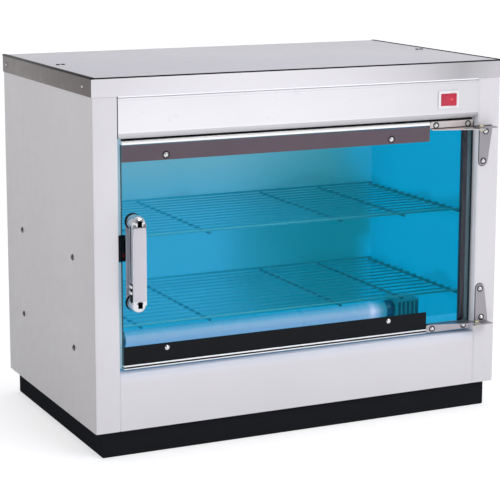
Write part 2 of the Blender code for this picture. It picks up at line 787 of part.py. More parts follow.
def door_piece_channel(name, end, joint):
    """The bright channel along one edge of the glass: end is 1 at the top, -1 at the bottom."""
    edge = DOOR_TOP if end > 0 else DOOR_BOTTOM
    leg = edge - end * CHANNEL_LEG
    path = [(SKIN_FRONT, leg), (SKIN_FRONT, edge), (SKIN_BACK, edge), (SKIN_BACK, leg)]
    path = [(y - PIVOT_Y, z - DOOR_MIDDLE) for y, z in path]
    span = (DOOR_LEFT - PIVOT_X, TRIM_RIGHT - PIVOT_X)
    obj = folded_sheet(name, "YZ", path, span, DOOR_SHEET, -end, CHROME, joint)
    obj.location += joint.location


def strip_screw_places(end):
    if end > 0:
        z = DOOR_TOP - CHANNEL_LEG - FIT - TOP_STRIP_HEIGHT + STRIP_SCREW_EDGE
    else:
        z = DOOR_BOTTOM + CHANNEL_LEG + FIT + BOTTOM_STRIP_HEIGHT - STRIP_SCREW_EDGE
    for x in (DOOR_LEFT + STRIP_SCREW_INSET, TRIM_RIGHT - STRIP_SCREW_INSET):
        yield Vector((x, SKIN_FRONT, z))


def hinge_screw_places(end):
    edge = DOOR_TOP if end > 0 else DOOR_BOTTOM
    z = edge - end * HINGE_PLATE_HEIGHT / 2
    for x in (HINGE_PLATE_LEFT + HINGE_SCREW_INSET, DOOR_RIGHT - HINGE_SCREW_INSET):
        yield Vector((x, SKIN_FRONT, z))


def bracket_screw_places(end):
    tongue = tongue_outer(end)
    left = DOORWAY_X + BRACKET_GAP
    y = BODY_FRONT - FIT - BRACKET_SHEET
    narrow = (BRACKET_WIDTH - BRACKET_TAPER) / 2
    yield Vector((left + BRACKET_WIDTH / 2, y, tongue - end * BRACKET_SCREW_TOP))
    yield Vector((left + narrow, y, tongue - end * (BRACKET_LENGTH - narrow)))


def flange_face(end):
    """The face of the hinge leaf's flange that meets the bracket's tongue."""
    edge = DOOR_TOP if end > 0 else DOOR_BOTTOM
    return edge - end * HINGE_PLATE_HEIGHT


def tongue_outer(end):
    """The tongue's face away from the door's middle."""
    return flange_face(end) + end * (FIT + BRACKET_SHEET)


def make_hinge_leaf(end, joint):
    """The door's half of a hinge: a channel over the glass with a flange out to the pivot."""
    name = ("top" if end > 0 else "bottom") + "_hinge_leaf"
    edge = DOOR_TOP if end > 0 else DOOR_BOTTOM
    face = flange_face(end)
    leg = face - end * DOOR_SHEET / 2
    path = [(SKIN_FRONT, leg), (SKIN_FRONT, edge), (SKIN_BACK, edge), (SKIN_BACK, leg)]
    span = (HINGE_PLATE_LEFT, DOOR_RIGHT)
    path = [(y - PIVOT_Y, z - DOOR_MIDDLE) for y, z in path]
    local_span = [x - PIVOT_X for x in span]
    leaf = folded_sheet(name, "YZ", path, local_span, DOOR_SHEET, -end, BRUSHED_STEEL, joint)
    leaf.location += joint.location
    corner = HINGE_CORNER_RADIUS
    low_z, high_z = sorted((edge, leg))
    outline = arc((DOOR_RIGHT - corner, high_z - corner), corner, 0, 90, 4)
    outline += arc((HINGE_PLATE_LEFT + corner, high_z - corner), corner, 90, 180, 4)
    outline += arc((HINGE_PLATE_LEFT + corner, low_z + corner), corner, 180, 270, 4)
    outline += arc((DOOR_RIGHT - corner, low_z + corner), corner, 270, 360, 4)
    deep = SKIN_BACK - SKIN_FRONT + OVERRUN * 2
    middle = (0, (SKIN_FRONT + SKIN_BACK) / 2, 0)
    turn = (math.radians(90), 0, 0)
    combine(leaf, plate(name + "_corners", outline, deep, TOOL_INK, middle, turn), "INTERSECT")
    left = HINGE_PLATE_LEFT + corner - PIVOT_X
    right = DOOR_RIGHT - corner - PIVOT_X
    root = SKIN_FRONT + DOOR_SHEET / 2 - PIVOT_Y
    outline = [(left, root), (left, SKIN_FRONT - FLANGE_TIP - PIVOT_Y)]
    outline += arc((0, 0), EYE_RADIUS, 245, 420, 10)
    outline += [(right, root)]
    place = (PIVOT_X, PIVOT_Y, face - end * DOOR_SHEET / 2)
    join(leaf, plate(name + "_flange", outline, DOOR_SHEET, TOOL_INK, place, joint=joint))
    hole(leaf, PIN_RADIUS + FIT, place, (0, 0, 1), DOOR_SHEET + OVERRUN, joint)
    grip = GLASS_THICKNESS + 2 * (FIT + DOOR_SHEET)
    for index, screw_place in enumerate(hinge_screw_places(end)):
        screw_hole(leaf, screw_place, (0, -1, 0), grip, joint)
        screw(f"{name}_screw_{index + 1}", screw_place, (0, -1, 0), grip, STEEL, joint)


def make_bracket(end):
    """The stile's half of a hinge: a tapered leaf with a tongue that carries the pivot."""
    name = ("top" if end > 0 else "bottom") + "_hinge_bracket"
    outer = tongue_outer(end)
    left = DOORWAY_X + BRACKET_GAP
    right = left + BRACKET_WIDTH
    narrow = (BRACKET_WIDTH - BRACKET_TAPER) / 2
    root = outer - end * BRACKET_SHEET / 2
    tip = outer - end * (BRACKET_LENGTH - narrow)
    outline = [(left, root), (right, root), (right, outer - end * BRACKET_SCREW_TOP)]
    if end > 0:
        outline += arc((left + narrow, tip), narrow, 360, 180, 6)
    else:
        outline += arc((left + narrow, tip), narrow, 0, 180, 6)
    y = BODY_FRONT - FIT - BRACKET_SHEET / 2
    turn = (math.radians(90), 0, 0)
    bracket = plate(name, outline, BRACKET_SHEET, BRUSHED_STEEL, (0, y, 0), turn)
    margin = EYE_RADIUS + TONGUE_MARGIN
    ends = sorted((outer, outer - end * BRACKET_SHEET))
    low = (PIVOT_X - margin, PIVOT_Y - margin, ends[0])
    high = (right, y, ends[1])
    join(bracket, box(name + "_tongue", low, high, TOOL_INK))
    pivot = (PIVOT_X, PIVOT_Y, sum(ends) / 2)
    hole(bracket, PIN_RADIUS + FIT, pivot, (0, 0, 1), BRACKET_SHEET + OVERRUN)
    grip = BRACKET_SHEET + FIT + SHEET
    for index, place in enumerate(bracket_screw_places(end)):
        screw_hole(bracket, place, (0, -1, 0), grip)
        screw(f"{name}_screw_{index + 1}", place, (0, -1, 0), grip, STEEL)


def make_pivot_pin(end):
    """The pin of a hinge, headed on the tongue and nutted under the flange."""
    name = ("top" if end > 0 else "bottom") + "_pivot_pin"
    neck = -(BRACKET_SHEET + FIT + DOOR_SHEET + FIT)
    shoulder_share = 0.75
    profile = [
        (0, FIT + PIN_HEAD_HEIGHT),
        (PIN_HEAD_RADIUS * shoulder_share, FIT + PIN_HEAD_HEIGHT),
        (PIN_HEAD_RADIUS, FIT + PIN_HEAD_HEIGHT * shoulder_share),
        (PIN_HEAD_RADIUS, FIT),
        (PIN_RADIUS, FIT),
        (PIN_RADIUS, neck),
        (PIN_HEAD_RADIUS, neck),
        (PIN_HEAD_RADIUS, neck - PIN_NUT_HEIGHT),
        (0, neck - PIN_NUT_HEIGHT),
    ]
    place = (PIVOT_X, PIVOT_Y, tongue_outer(end))
    turned(name, profile, BRASS, place, (0, 0, end))


def make_door(joint):
    grip = GLASS_THICKNESS + FIT + DOOR_SHEET
    low = (DOOR_LEFT, GLASS_FRONT, DOOR_BOTTOM + DOOR_SHEET + FIT)
    high = (DOOR_RIGHT, GLASS_BACK, DOOR_TOP - DOOR_SHEET - FIT)
    glass = box("door_glass", low, high, GLASS, joint)
    for end, name, height in ((1, "top", TOP_STRIP_HEIGHT), (-1, "bottom", BOTTOM_STRIP_HEIGHT)):
        door_piece_channel("door_" + name + "_channel", end, joint)
        edge = DOOR_TOP if end > 0 else DOOR_BOTTOM
        near = edge - end * (CHANNEL_LEG + FIT)
        bounds = sorted((near, near - end * height))
        low = (DOOR_LEFT, SKIN_FRONT, bounds[0])
        high = (TRIM_RIGHT, SKIN_FRONT + DOOR_SHEET, bounds[1])
        strip = box("door_" + name + "_strip", low, high, DARK_STRIP, joint)
        for index, place in enumerate(strip_screw_places(end)):
            screw_hole(strip, place, (0, -1, 0), grip, joint)
            screw_hole(glass, place, (0, -1, 0), grip, joint)
            screw(f"{name}_strip_screw_{index + 1}", place, (0, -1, 0), grip, STEEL, joint)
        for place in hinge_screw_places(end):
            screw_hole(glass, place, (0, -1, 0), grip, joint)
        make_hinge_leaf(end, joint)


def make_handle(joint):
    """A chrome bow that stands off the glass on two domed posts, with a white grip let in."""
    x = DOOR_LEFT + HANDLE_INSET
    middle = DOOR_MIDDLE - HANDLE_DROP
    radius = HANDLE_WIDTH / 2
    foot = GLASS_FRONT - FIT
    front = GLASS_FRONT - HANDLE_REACH
    post = HANDLE_LENGTH / 2 - radius
    sphere = (radius**2 + DOME_DEPTH**2) / (2 * DOME_DEPTH)
    spread = math.degrees(math.asin(radius / sphere))
    dome = arc((0, -sphere), sphere, 90, 90 - spread, 3)
    dome[0] = (0, 0)
    profile = dome + [(radius, front - foot), (0, front - foot)]
    posts = []
    for end, name in ((1, "upper"), (-1, "lower")):
        place = (x, front, middle + end * post)
        posts.append(turned("handle_" + name + "_post", profile, CHROME, place, (0, -1, 0), joint, 16))
    bow, lower = posts
    bow.name = "handle_bow"
    seat = front + GRIP_DEPTH + FIT
    low = (x - radius + FIT, seat, middle - post)
    high = (x + radius - FIT, seat + HANDLE_BAR_DEPTH, middle + post)
    join(bow, box("handle_bar", low, high, TOOL_INK, joint))
    join(bow, lower)
    half = GRIP_LENGTH / 2
    low = (x - radius - OVERRUN, front - OVERRUN, middle - half - FIT)
    high = (x + radius + OVERRUN, seat, middle + half + FIT)
    cut(bow, box("handle_grip_seat", low, high, TOOL_INK, joint))
    low = (x - radius, front, middle - half)
    high = (x + radius, seat - FIT, middle + half)
    round_edges(box("handle_grip", low, high, WHITE_PLASTIC, joint), GRIP_ROUNDING, 2)


def make_catch(joint):
    """A magnet block on the free-side jamb, and the plate on the glass that it holds."""
    left = -DOORWAY_X + FIT
    middle = DOOR_MIDDLE + CATCH_RISE
    half = CATCH_HEIGHT / 2
    strike_back = GLASS_BACK + FIT + STRIKE_THICKNESS
    front = strike_back + CATCH_GAP
    low = (left, front, middle - half)
    high = (left + CATCH_WIDTH, front + CATCH_DEPTH, middle + half)
    round_edges(box("magnet_catch", low, high, BLACK_PLASTIC), CATCH_ROUNDING, 1)
    half -= STRIKE_MARGIN
    low = (DOOR_LEFT + STRIKE_INSET, GLASS_BACK + FIT, middle - half)
    high = (left + CATCH_WIDTH, strike_back, middle + half)
    box("catch_strike", low, high, BLACK_PLASTIC, joint)


def make_cabinet():
    make_plinth()
    make_base_pan()
    make_side_panel(-1)
    make_side_panel(1)
    make_back_panel()
    make_gland()
    make_bottom_rail()
    make_floor_pan()
    make_ceiling()
    make_header()
    make_cap()
    make_seal()
    for side in (-1, 1):
        make_shelf_rail(side, UPPER_LEDGE, "upper")
        make_shelf_rail(side, LOWER_LEDGE, "lower")
        make_lamp_holder(side)
    make_electrical_gear()
    make_switch()
    make_rocker()
    make_shelf("upper_shelf", UPPER_LEDGE)
    make_shelf("lower_shelf", LOWER_LEDGE)
    make_lamp()
    door = joint_empty("door_pivot", (PIVOT_X, PIVOT_Y, DOOR_MIDDLE))
    make_door(door)
    make_handle(door)
    make_catch(door)
    for end in (1, -1):
        make_bracket(end)
        make_pivot_pin(end)


for old in list(bpy.data.objects):
    bpy.data.objects.remove(old)
PARTS = new_collection("dish_sterilizer_cabinet")
TOOLS = new_collection("cutters")
TOOL_INK = paint("cutter", 230, 60, 60, 0.5)
WHITE_PAINT = paint("white_paint", 221, 219, 226, 0.35)
BLACK_PAINT = paint("black_paint", 26, 29, 29, 0.5)
STAINLESS = paint("stainless", 201, 201, 206, 0.35, 1.0)
GALVANISED = paint("galvanised", 165, 168, 172, 0.5, 1.0)
LINER = paint("liner", 190, 214, 222, 0.4)
STEEL = paint("zinc_steel", 205, 207, 210, 0.3, 1.0)
BRUSHED_STEEL = paint("brushed_steel", 176, 172, 176, 0.35, 1.0)
CHROME = paint("chrome", 232, 232, 236, 0.1, 1.0)
BRASS = paint("brass", 196, 176, 120, 0.3, 1.0)
WIRE = paint("shelf_wire", 200, 206, 210, 0.25, 1.0)
GLASS = paint("glass", 150, 215, 235, 0.03, 0.0, 0.3)
DARK_STRIP = paint("dark_strip", 40, 36, 40, 0.25)
BLACK_RUBBER = paint("black_rubber", 34, 32, 34, 0.6)
BLACK_PLASTIC = paint("black_plastic", 24, 24, 26, 0.4)
WHITE_PLASTIC = paint("white_plastic", 226, 223, 228, 0.3)
RED_PLASTIC = paint("red_plastic", 204, 34, 68, 0.3)
LAMP_GLASS = paint("lamp_glass", 215, 220, 250, 0.1)
PORCELAIN = paint("holder_plastic", 225, 228, 226, 0.4)
make_cabinet()
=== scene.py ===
import json
import math

import bmesh
import bpy
from mathutils import Matrix, Vector

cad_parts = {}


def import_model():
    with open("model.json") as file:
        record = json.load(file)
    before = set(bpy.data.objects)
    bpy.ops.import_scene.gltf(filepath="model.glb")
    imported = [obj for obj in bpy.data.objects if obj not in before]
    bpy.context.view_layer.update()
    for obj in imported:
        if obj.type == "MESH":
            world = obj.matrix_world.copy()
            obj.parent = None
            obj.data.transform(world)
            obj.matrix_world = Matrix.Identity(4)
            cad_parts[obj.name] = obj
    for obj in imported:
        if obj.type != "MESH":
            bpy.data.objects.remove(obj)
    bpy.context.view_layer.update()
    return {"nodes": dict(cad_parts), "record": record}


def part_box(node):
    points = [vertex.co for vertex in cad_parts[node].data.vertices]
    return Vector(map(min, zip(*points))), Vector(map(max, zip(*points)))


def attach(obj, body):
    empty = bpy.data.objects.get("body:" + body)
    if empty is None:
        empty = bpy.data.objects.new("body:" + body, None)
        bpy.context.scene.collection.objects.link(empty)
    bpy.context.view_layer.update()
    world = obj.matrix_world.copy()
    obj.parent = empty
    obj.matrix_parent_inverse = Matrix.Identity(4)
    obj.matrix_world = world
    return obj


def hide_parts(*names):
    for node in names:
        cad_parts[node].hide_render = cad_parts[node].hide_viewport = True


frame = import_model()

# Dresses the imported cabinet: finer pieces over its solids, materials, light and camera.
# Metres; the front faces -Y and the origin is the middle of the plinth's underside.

MM = 0.001
NODES = frame["nodes"]
BODY_OF = {
    node: body for body, nodes in frame["record"]["behaviour"]["bodies"].items() for node in nodes
}
SLOT_OF = {entry["node"]: entry["material_slot"] for entry in frame["record"]["subparts"]}


# Colours


def linear(value):
    """One screen level, 0..255, as linear light."""
    value /= 255
    return value / 12.92 if value <= 0.04045 else ((value + 0.055) / 1.055) ** 2.4


def rgb(text):
    """A screen colour such as '8090a0' as linear light."""
    return tuple(linear(int(text[i : i + 2], 16)) for i in (0, 2, 4)) + (1.0,)


def shifted(colour, factor):
    """A colour made brighter or darker."""
    return tuple(min(1.0, c * factor) for c in colour[:3]) + (1.0,)


def grey(level):
    return (level, level, level, 1.0)


def levels(steps):
    """Ramp stops from (place, level) steps; a level is a grey's number or a whole colour."""
    return [(place, level if isinstance(level, tuple) else grey(level)) for place, level in steps]


# Materials

NOISE_LOW, NOISE_HIGH = 0.3, 0.7  # Noise stays mostly between these.


class Graph:
    """The node tree of a material or of the world, under construction."""

    def __init__(self, owner):
        owner.use_nodes = True
        self.tree = owner.node_tree

    def node(self, kind, **values):
        node = self.tree.nodes.new("ShaderNode" + kind)
        for key, value in values.items():
            setattr(node, key, value)
        return node

    def link(self, start, end):
        self.tree.links.new(start, end)

    def spread(self, value, low, high, start=NOISE_LOW, end=NOISE_HIGH):
        """Maps a value from start..end to low..high."""
        node = self.node("MapRange")
        ends = {"From Min": start, "From Max": end, "To Min": low, "To Max": high}
        for name, number in ends.items():
            node.inputs[name].default_value = number
        self.link(value, node.inputs["Value"])
        return node.outputs["Result"]

    def ramp(self, value, stops, smooth=False):
        """A colour ramp through (place, colour) stops."""
        node = self.node("ValToRGB")
        ramp = node.color_ramp
        if smooth:
            ramp.interpolation = "EASE"
        ramp.elements[0].position, ramp.elements[0].color = stops[0]
        ramp.elements[1].position, ramp.elements[1].color = stops[-1]
        for place, colour in stops[1:-1]:
            ramp.elements.new(place).color = colour
        self.link(value, node.inputs["Fac"])
        return node.outputs["Color"]

    def blend(self, value, first, second):
        return self.ramp(value, ((NOISE_LOW, first), (NOISE_HIGH, second)))

    def sum(self, first, second):
        node = self.node("Math", operation="ADD")
        self.link(first, node.inputs[0])
        self.link(second, node.inputs[1])
        return node.outputs[0]

    def mix(self, first, second, factor=1.0, kind="MIX"):
        """Mixes two colours; factor is a number or a value's output."""
        node = self.node("Mix", data_type="RGBA", blend_type=kind)
        colours = [socket for socket in node.inputs if socket.type == "RGBA"]
        if isinstance(factor, float):
            node.inputs[0].default_value = factor
        else:
            self.link(factor, node.inputs[0])
        for socket, colour in zip(colours, (first, second)):
            if isinstance(colour, tuple):
                socket.default_value = colour
            else:
                self.link(colour, socket)
        return next(socket for socket in node.outputs if socket.type == "RGBA")


class Shade(Graph):
    """A node material under construction."""

    def __init__(self, name):
        self.material = bpy.data.materials.new(name)
        super().__init__(self.material)
        self.shader = self.tree.nodes["Principled BSDF"]
        self.place = self.node("TexCoord").outputs["Object"]

    def set(self, **values):
        for key, value in values.items():
            self.shader.inputs[key.replace("_", " ")].default_value = value

    def colour(self, output):
        self.link(output, self.shader.inputs["Base Color"])

    def glow(self, output, strength):
        self.link(output, self.shader.inputs["Emission Color"])
        self.set(Emission_Strength=strength)

    def roughness(self, output):
        self.link(output, self.shader.inputs["Roughness"])

    def noise(self, scale, stretch=(1, 1, 1), detail=2.0, rough=0.5):
        mapping = self.node("Mapping")
        mapping.inputs["Scale"].default_value = stretch
        self.link(self.place, mapping.inputs["Vector"])
        noise = self.node("TexNoise")
        noise.inputs["Scale"].default_value = scale
        noise.inputs["Detail"].default_value = detail
        noise.inputs["Roughness"].default_value = rough
        self.link(mapping.outputs["Vector"], noise.inputs["Vector"])
        return noise.outputs["Fac"]

    def axis(self, name, low, high):
        """The place along an axis, as 0..1 between low and high metres."""
        split = self.node("SeparateXYZ")
        self.link(self.place, split.inputs["Vector"])
        return self.spread(split.outputs["XYZ".index(name)], 0.0, 1.0, low, high)

    def distance(self, point):
        """The distance from a point in the object's space."""
        offset = self.node("VectorMath", operation="SUBTRACT")
        offset.inputs[1].default_value = point
        self.link(self.place, offset.inputs[0])
        length = self.node("VectorMath", operation="LENGTH")
        self.link(offset.outputs[0], length.inputs[0])
        return length.outputs["Value"]

    def bump(self, height, strength, distance):
        node = self.node("Bump")
        node.inputs["Strength"].default_value = strength
        node.inputs["Distance"].default_value = distance
        self.link(height, node.inputs["Height"])
        self.link(node.outputs["Normal"], self.shader.inputs["Normal"])


PEEL_DEPTH = 0.2 * MM
STREAK_DEPTH = 0.1 * MM


def enamel(
    name, colour, roughness=0.38, coat=0.1, bands=None, across=None, inward=None, peel=0.05,
    shine=0.5, glow=0.0,
):
    """Baked enamel on sheet: a faint orange peel, a slow drift of tone, and painted shade and
    highlights.

    bands, across and inward list (place, factor) steps of painted shade and light up the sheet,
    along it and from front to back. glow paints light onto it.
    """
    shade = Shade(name)
    tone = shade.blend(shade.noise(7), shifted(colour, 0.98), shifted(colour, 1.015))
    for axis, steps in (("Z", bands), ("X", across), ("Y", inward)):
        if steps:
            low, high = steps[0][0], steps[-1][0]
            shares = [((place - low) / (high - low), level) for place, level in steps]
            # Painted shade and light, multiplied into the tone.
            painted_light_steps = shade.ramp(shade.axis(axis, low, high), levels(shares))
            tone = shade.mix(tone, painted_light_steps, kind="MULTIPLY")
    shade.colour(tone)
    if glow:
        shade.glow(tone, glow)
    shade.roughness(shade.spread(shade.noise(60, detail=4), roughness - 0.05, roughness + 0.06))
    shade.bump(shade.noise(700, detail=1), peel, PEEL_DEPTH)
    shade.set(Coat_Weight=coat, Coat_Roughness=0.25, Specular_IOR_Level=shine)
    return shade.material


def metal(
    name, colour, low, high, stretch=(1, 1, 1), scale=220, bump=0.1, variation=0.05, metallic=1.0
):
    """Metal with streaks drawn out along the axis whose stretch is small.

    low and high are the roughness of its smoothest and its roughest streaks.
    """
    shade = Shade(name)
    streaks = shade.noise(scale, stretch, detail=6, rough=0.65)
    darker, lighter = shifted(colour, 1 - variation), shifted(colour, 1 + variation)
    shade.colour(shade.blend(streaks, darker, lighter))
    shade.roughness(shade.spread(streaks, low, high))
    if bump:
        shade.bump(streaks, bump, STREAK_DEPTH)
    shade.set(Metallic=metallic)
    return shade.material


def moulded(
    name, colour, roughness, grain=900, depth=0.08, variation=0.03, coat=0.0, shine=0.5, glow=0.0
):
    """Moulded plastic or rubber with a fine grain; glow paints the lamp's light onto it."""
    shade = Shade(name)
    mottle = shade.noise(30, detail=4)
    tone = shade.blend(mottle, shifted(colour, 1 - variation), shifted(colour, 1 + variation))
    shade.colour(tone)
    if glow:
        shade.glow(tone, glow)
    shade.roughness(shade.spread(shade.noise(150, detail=3), roughness - 0.04, roughness + 0.06))
    shade.bump(shade.noise(grain, detail=2), depth, PEEL_DEPTH)
    shade.set(Specular_IOR_Level=shine)
    if coat:
        shade.set(Coat_Weight=coat, Coat_Roughness=0.12)
    return shade.material


# The lit compartment, its lamp light painted on as a glow: its colours, the spans they run over,
# and their stops

BLUE = rgb("30a0cc")
CYAN = rgb("0098c6")
TEAL = rgb("067c92")
# A painted reflection: the room's pale glare on the glass, laid on the back wall.
PAINTED_GLARE = rgb("8eb4b0")
LINER_X = (-0.298, 0.298)
LINER_Y = (-0.15, 0.176)
LINER_Z = (0.075, 0.412)
UPPER_Z = (0.20, 0.36)
BACK_TONES = ((0.0, BLUE), (0.5, BLUE), (0.82, TEAL), (0.92, TEAL), (1.0, CYAN))
UPPER_TONES = ((0.0, BLUE), (0.5, BLUE), (0.85, rgb("1296b2")), (1.0, CYAN))
SIDE_TONES = ((0.0, shifted(CYAN, 1.02)), (0.8, CYAN), (1.0, shifted(CYAN, 0.88)))
FLOOR_TONES = ((0.0, CYAN), (0.3, BLUE), (0.6, shifted(BLUE, 1.2)), (1.0, CYAN))
UPPER_RISE = ((0.3, 0.0), (1.0, 0.8))
PAINTED_GLARE_RISE = ((0.0, 0.0), (1.0, 0.48))
PAINTED_GLARE_ACROSS = ((0.0, 1.0), (0.55, 1.0), (0.75, 0.5), (1.0, 0.1))
# Painted shade of the shelves on the walls: (place, level) steps up the compartment.
SHELF_SHADES = (
    (0.0, 0.86), (0.15, 0.92), (0.2, 0.78), (0.24, 0.96), (0.5, 0.96), (0.56, 0.76), (0.6, 0.97),
    (1.0, 1.0),
)
BACK_SHADING = 0.5


def back_tone(shade, wobble):
    """Painted lamp light, blue at the left and teal towards the right, under a painted pale
    reflection that rises to the left.
    """
    along = shade.sum(shade.axis("X", *LINER_X), wobble)
    rise = shade.sum(shade.axis("Z", *UPPER_Z), wobble)
    upper = shade.ramp(along, UPPER_TONES)
    lower = shade.ramp(along, BACK_TONES, smooth=True)
    tone = shade.mix(lower, upper, shade.ramp(rise, levels(UPPER_RISE)))
    pale = shade.ramp(rise, levels(PAINTED_GLARE_RISE), smooth=True)
    pale = shade.mix(pale, shade.ramp(along, levels(PAINTED_GLARE_ACROSS)), kind="MULTIPLY")
    return shade.mix(tone, PAINTED_GLARE, pale)


def lit_liner(name, tones=None, shading=0.0):
    """A wall with the lamp's blue light painted on as a glow, and painted shade from the shelves
    and the jamb.

    tones run from front to back; without them it is the back wall. shading is how much
    of the shelves' painted shade it takes.
    """
    shade = Shade(name)
    wobble = shade.spread(shade.noise(8, detail=3), -0.05, 0.05)
    if tones:
        tone = shade.ramp(shade.sum(shade.axis("Y", *LINER_Y), wobble), tones)
    else:
        tone = back_tone(shade, wobble)
    if shading:
        shades = [(place, 1 - shading * (1 - level)) for place, level in SHELF_SHADES]
        rise = shade.sum(shade.axis("Z", *LINER_Z), wobble)
        tone = shade.mix(tone, shade.ramp(rise, levels(shades), smooth=True), kind="MULTIPLY")
    shade.glow(tone, 0.95)
    shade.roughness(shade.spread(shade.noise(80, detail=3), 0.45, 0.6))
    shade.bump(shade.noise(500, detail=1), 0.05, PEEL_DEPTH)
    shade.set(Base_Color=rgb("082c3a"), Specular_IOR_Level=0.1)
    return shade.material


def pane():
    shade = Shade("pane_glass")
    shade.roughness(shade.spread(shade.noise(25, detail=5), 0.0, 0.012))
    shade.set(Base_Color=(0.96, 0.99, 1.0, 1.0), Transmission_Weight=1.0, IOR=1.08)
    return shade.material


TUBE_TONES = (
    (0.0, rgb("4a98c4")), (0.3, rgb("7aa8d2")), (0.6, rgb("88b2d6")), (0.85, rgb("56a4cc")),
    (1.0, rgb("2292bc")),
)
TUBE_END = (0.14, 0.206)
SPOT_ALONG = ((0.0, 0.0), (0.48, 0.15), (0.62, 1.0), (0.72, 0.25), (0.8, 0.0))
SPOT_UP = ((0.0, 0.2), (0.35, 0.45), (0.58, 1.0), (0.8, 0.5), (1.0, 0.1))
END_SHADE = ((0.0, 0.0), (0.7, 0.0), (0.92, 0.85), (1.0, 1.0))


def lamp_tube():
    """The lit tube: brightest along its middle, with a hot spot before its right cap."""
    shade = Shade("lamp_tube")
    low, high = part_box("uv_lamp")
    up = shade.axis("Z", low.z, high.z)
    near = shade.axis("X", *TUBE_END)
    spot = shade.ramp(near, levels(SPOT_ALONG), smooth=True)
    spot = shade.mix(spot, shade.ramp(up, levels(SPOT_UP)), kind="MULTIPLY")
    tone = shade.mix(shade.ramp(up, TUBE_TONES, smooth=True), rgb("ccdcfa"), spot)
    tone = shade.mix(tone, rgb("0c7c94"), shade.ramp(near, levels(END_SHADE), smooth=True))
    shade.glow(tone, 0.9)
    shade.roughness(shade.spread(shade.noise(40), 0.25, 0.35))
    shade.set(Base_Color=rgb("1c3c50"), Specular_IOR_Level=0.2)
    return shade.material


# A painted highlight: a small bright spot on the rocker's crest, right of its middle.
HIGHLIGHT_PLACE = (3.0 * MM, 0.5 * MM)
HIGHLIGHT_CORE, HIGHLIGHT_REACH = 0.8 * MM, 10 * MM
HIGHLIGHT_TONES = (
    (0.0, rgb("ffd0a0")), (0.1, rgb("ffb080")), (0.24, rgb("c82440")), (1.0, rgb("a80c30"))
)


def glowing_red():
    """The rocker's red, lit from inside as a glow, with a painted highlight right of its middle."""
    shade = Shade("lit_red")
    low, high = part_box("switch_rocker")
    middle = (low + high) / 2
    # lamp here is the centre of the painted highlight.
    lamp = (middle.x + HIGHLIGHT_PLACE[0], low.y, middle.z + HIGHLIGHT_PLACE[1])
    near = shade.spread(shade.distance(lamp), 0.0, 1.0, HIGHLIGHT_CORE, HIGHLIGHT_REACH)
    shade.glow(shade.ramp(near, HIGHLIGHT_TONES), 0.4)
    shade.roughness(shade.spread(shade.noise(400), 0.25, 0.35))
    shade.set(Base_Color=rgb("a01030"), Coat_Weight=0.25)
    return shade.material


# Painted lamp light on the wires, deeper to the right; the rods' darker tones are painted shade,
# the edge wires' lighter ones a painted highlight.
WIRE_X = (-0.29, 0.29)
WIRE_TONES = (
    (0.0, rgb("2a94be")), (0.3, rgb("2490b8")), (0.5, rgb("1684a6")), (0.72, rgb("0a6c82")),
    (1.0, rgb("066276")),
)
ROD_TONES = (
    (0.0, rgb("1474a0")), (0.45, rgb("0e6a88")), (0.72, rgb("065868")), (1.0, rgb("034e5c"))
)
EDGE_TONES = (
    (0.0, rgb("48a6be")), (0.5, rgb("3c9cac")), (0.8, rgb("147c8c")), (1.0, rgb("0c6c7e"))
)


def wire_metal(name, tones):
    """Plated wire with the lamp's blue painted on, in its tone and as a glow, deeper to the right.
    """
    shade = Shade(name)
    streaks = shade.noise(150, detail=4)
    shade.colour(shade.blend(streaks, rgb("0a3844"), rgb("1a505c")))
    shade.roughness(shade.spread(streaks, 0.4, 0.5))
    shade.glow(shade.ramp(shade.axis("X", *WIRE_X), tones), 0.85)
    shade.set(Metallic=0.3, Specular_IOR_Level=0.2)
    return shade.material


# Painted shade and light: steps of brightness up a sheet, across the front and from front to back

# Painted shade under the cap's lip and on the header's lower roll, painted highlight lines, and a
# painted lift where the lip's shadow falls.
HEADER_BANDS = (
    (0.4112, 0.60), (0.4188, 0.72), (0.4200, 1.08), (0.4214, 1.0), (0.4580, 1.0), (0.4592, 1.06),
    (0.4602, 0.91), (0.4636, 0.95), (0.466, 1.15),
)
# Painted shade: the sides darker towards the bottom and towards the back, the front darker towards
# the bottom.
SIDE_BANDS = ((0.035, 0.72), (0.2, 0.77), (0.49, 0.92))
SIDE_INWARD = ((-0.17, 0.99), (-0.06, 0.94), (0.04, 0.91), (0.18, 0.88))
FRONT_BANDS = ((0.035, 0.92), (0.2, 0.985), (0.45, 0.985))
# Painted light: the rail's top edge takes the lamp's blue cast.
RAIL_BANDS = (
    (0.035, 0.92), (0.095, 0.975), (0.102, (1.0, 1.02, 1.05, 1.0)),
    (0.108, (0.94, 0.99, 1.07, 1.0)), (0.112, (0.8, 0.91, 1.06, 1.0)),
)
# Painted shade across the front and the header, darker to the right; the lip's steps are a painted
# reflection.
FRONT_ACROSS = ((-0.3, 1.0), (0.0, 0.985), (0.26, 0.985), (0.275, 0.98), (0.3, 0.97))
HEADER_ACROSS = ((-0.265, 0.98), (-0.06, 0.98), (0.12, 0.88), (0.265, 0.76))
LIP_ACROSS = ((-0.30, 0.92), (-0.12, 1.03), (0.06, 0.91), (0.18, 0.71), (0.235, 0.52), (0.3, 0.68))

# Finishes

UPRIGHT = (8, 8, 0.3)
DRAWN = (0.2, 8, 8)
BRUSHING = {"stretch": (0.3, 8, 8), "scale": 260, "bump": 0.3}
MIRROR = {"scale": 40, "bump": 0.0, "variation": 0.01}
SEAL = {"grain": 300, "depth": 0.05, "variation": 0.08}
# Painted lamp light: glows that stand in for the lamp's blue light on parts in the compartment,
# deeper on the shaded ones.
SHADED = {"shine": 0.15, "glow": 0.8}
LIT = {"shine": 0.15, "glow": 0.75}

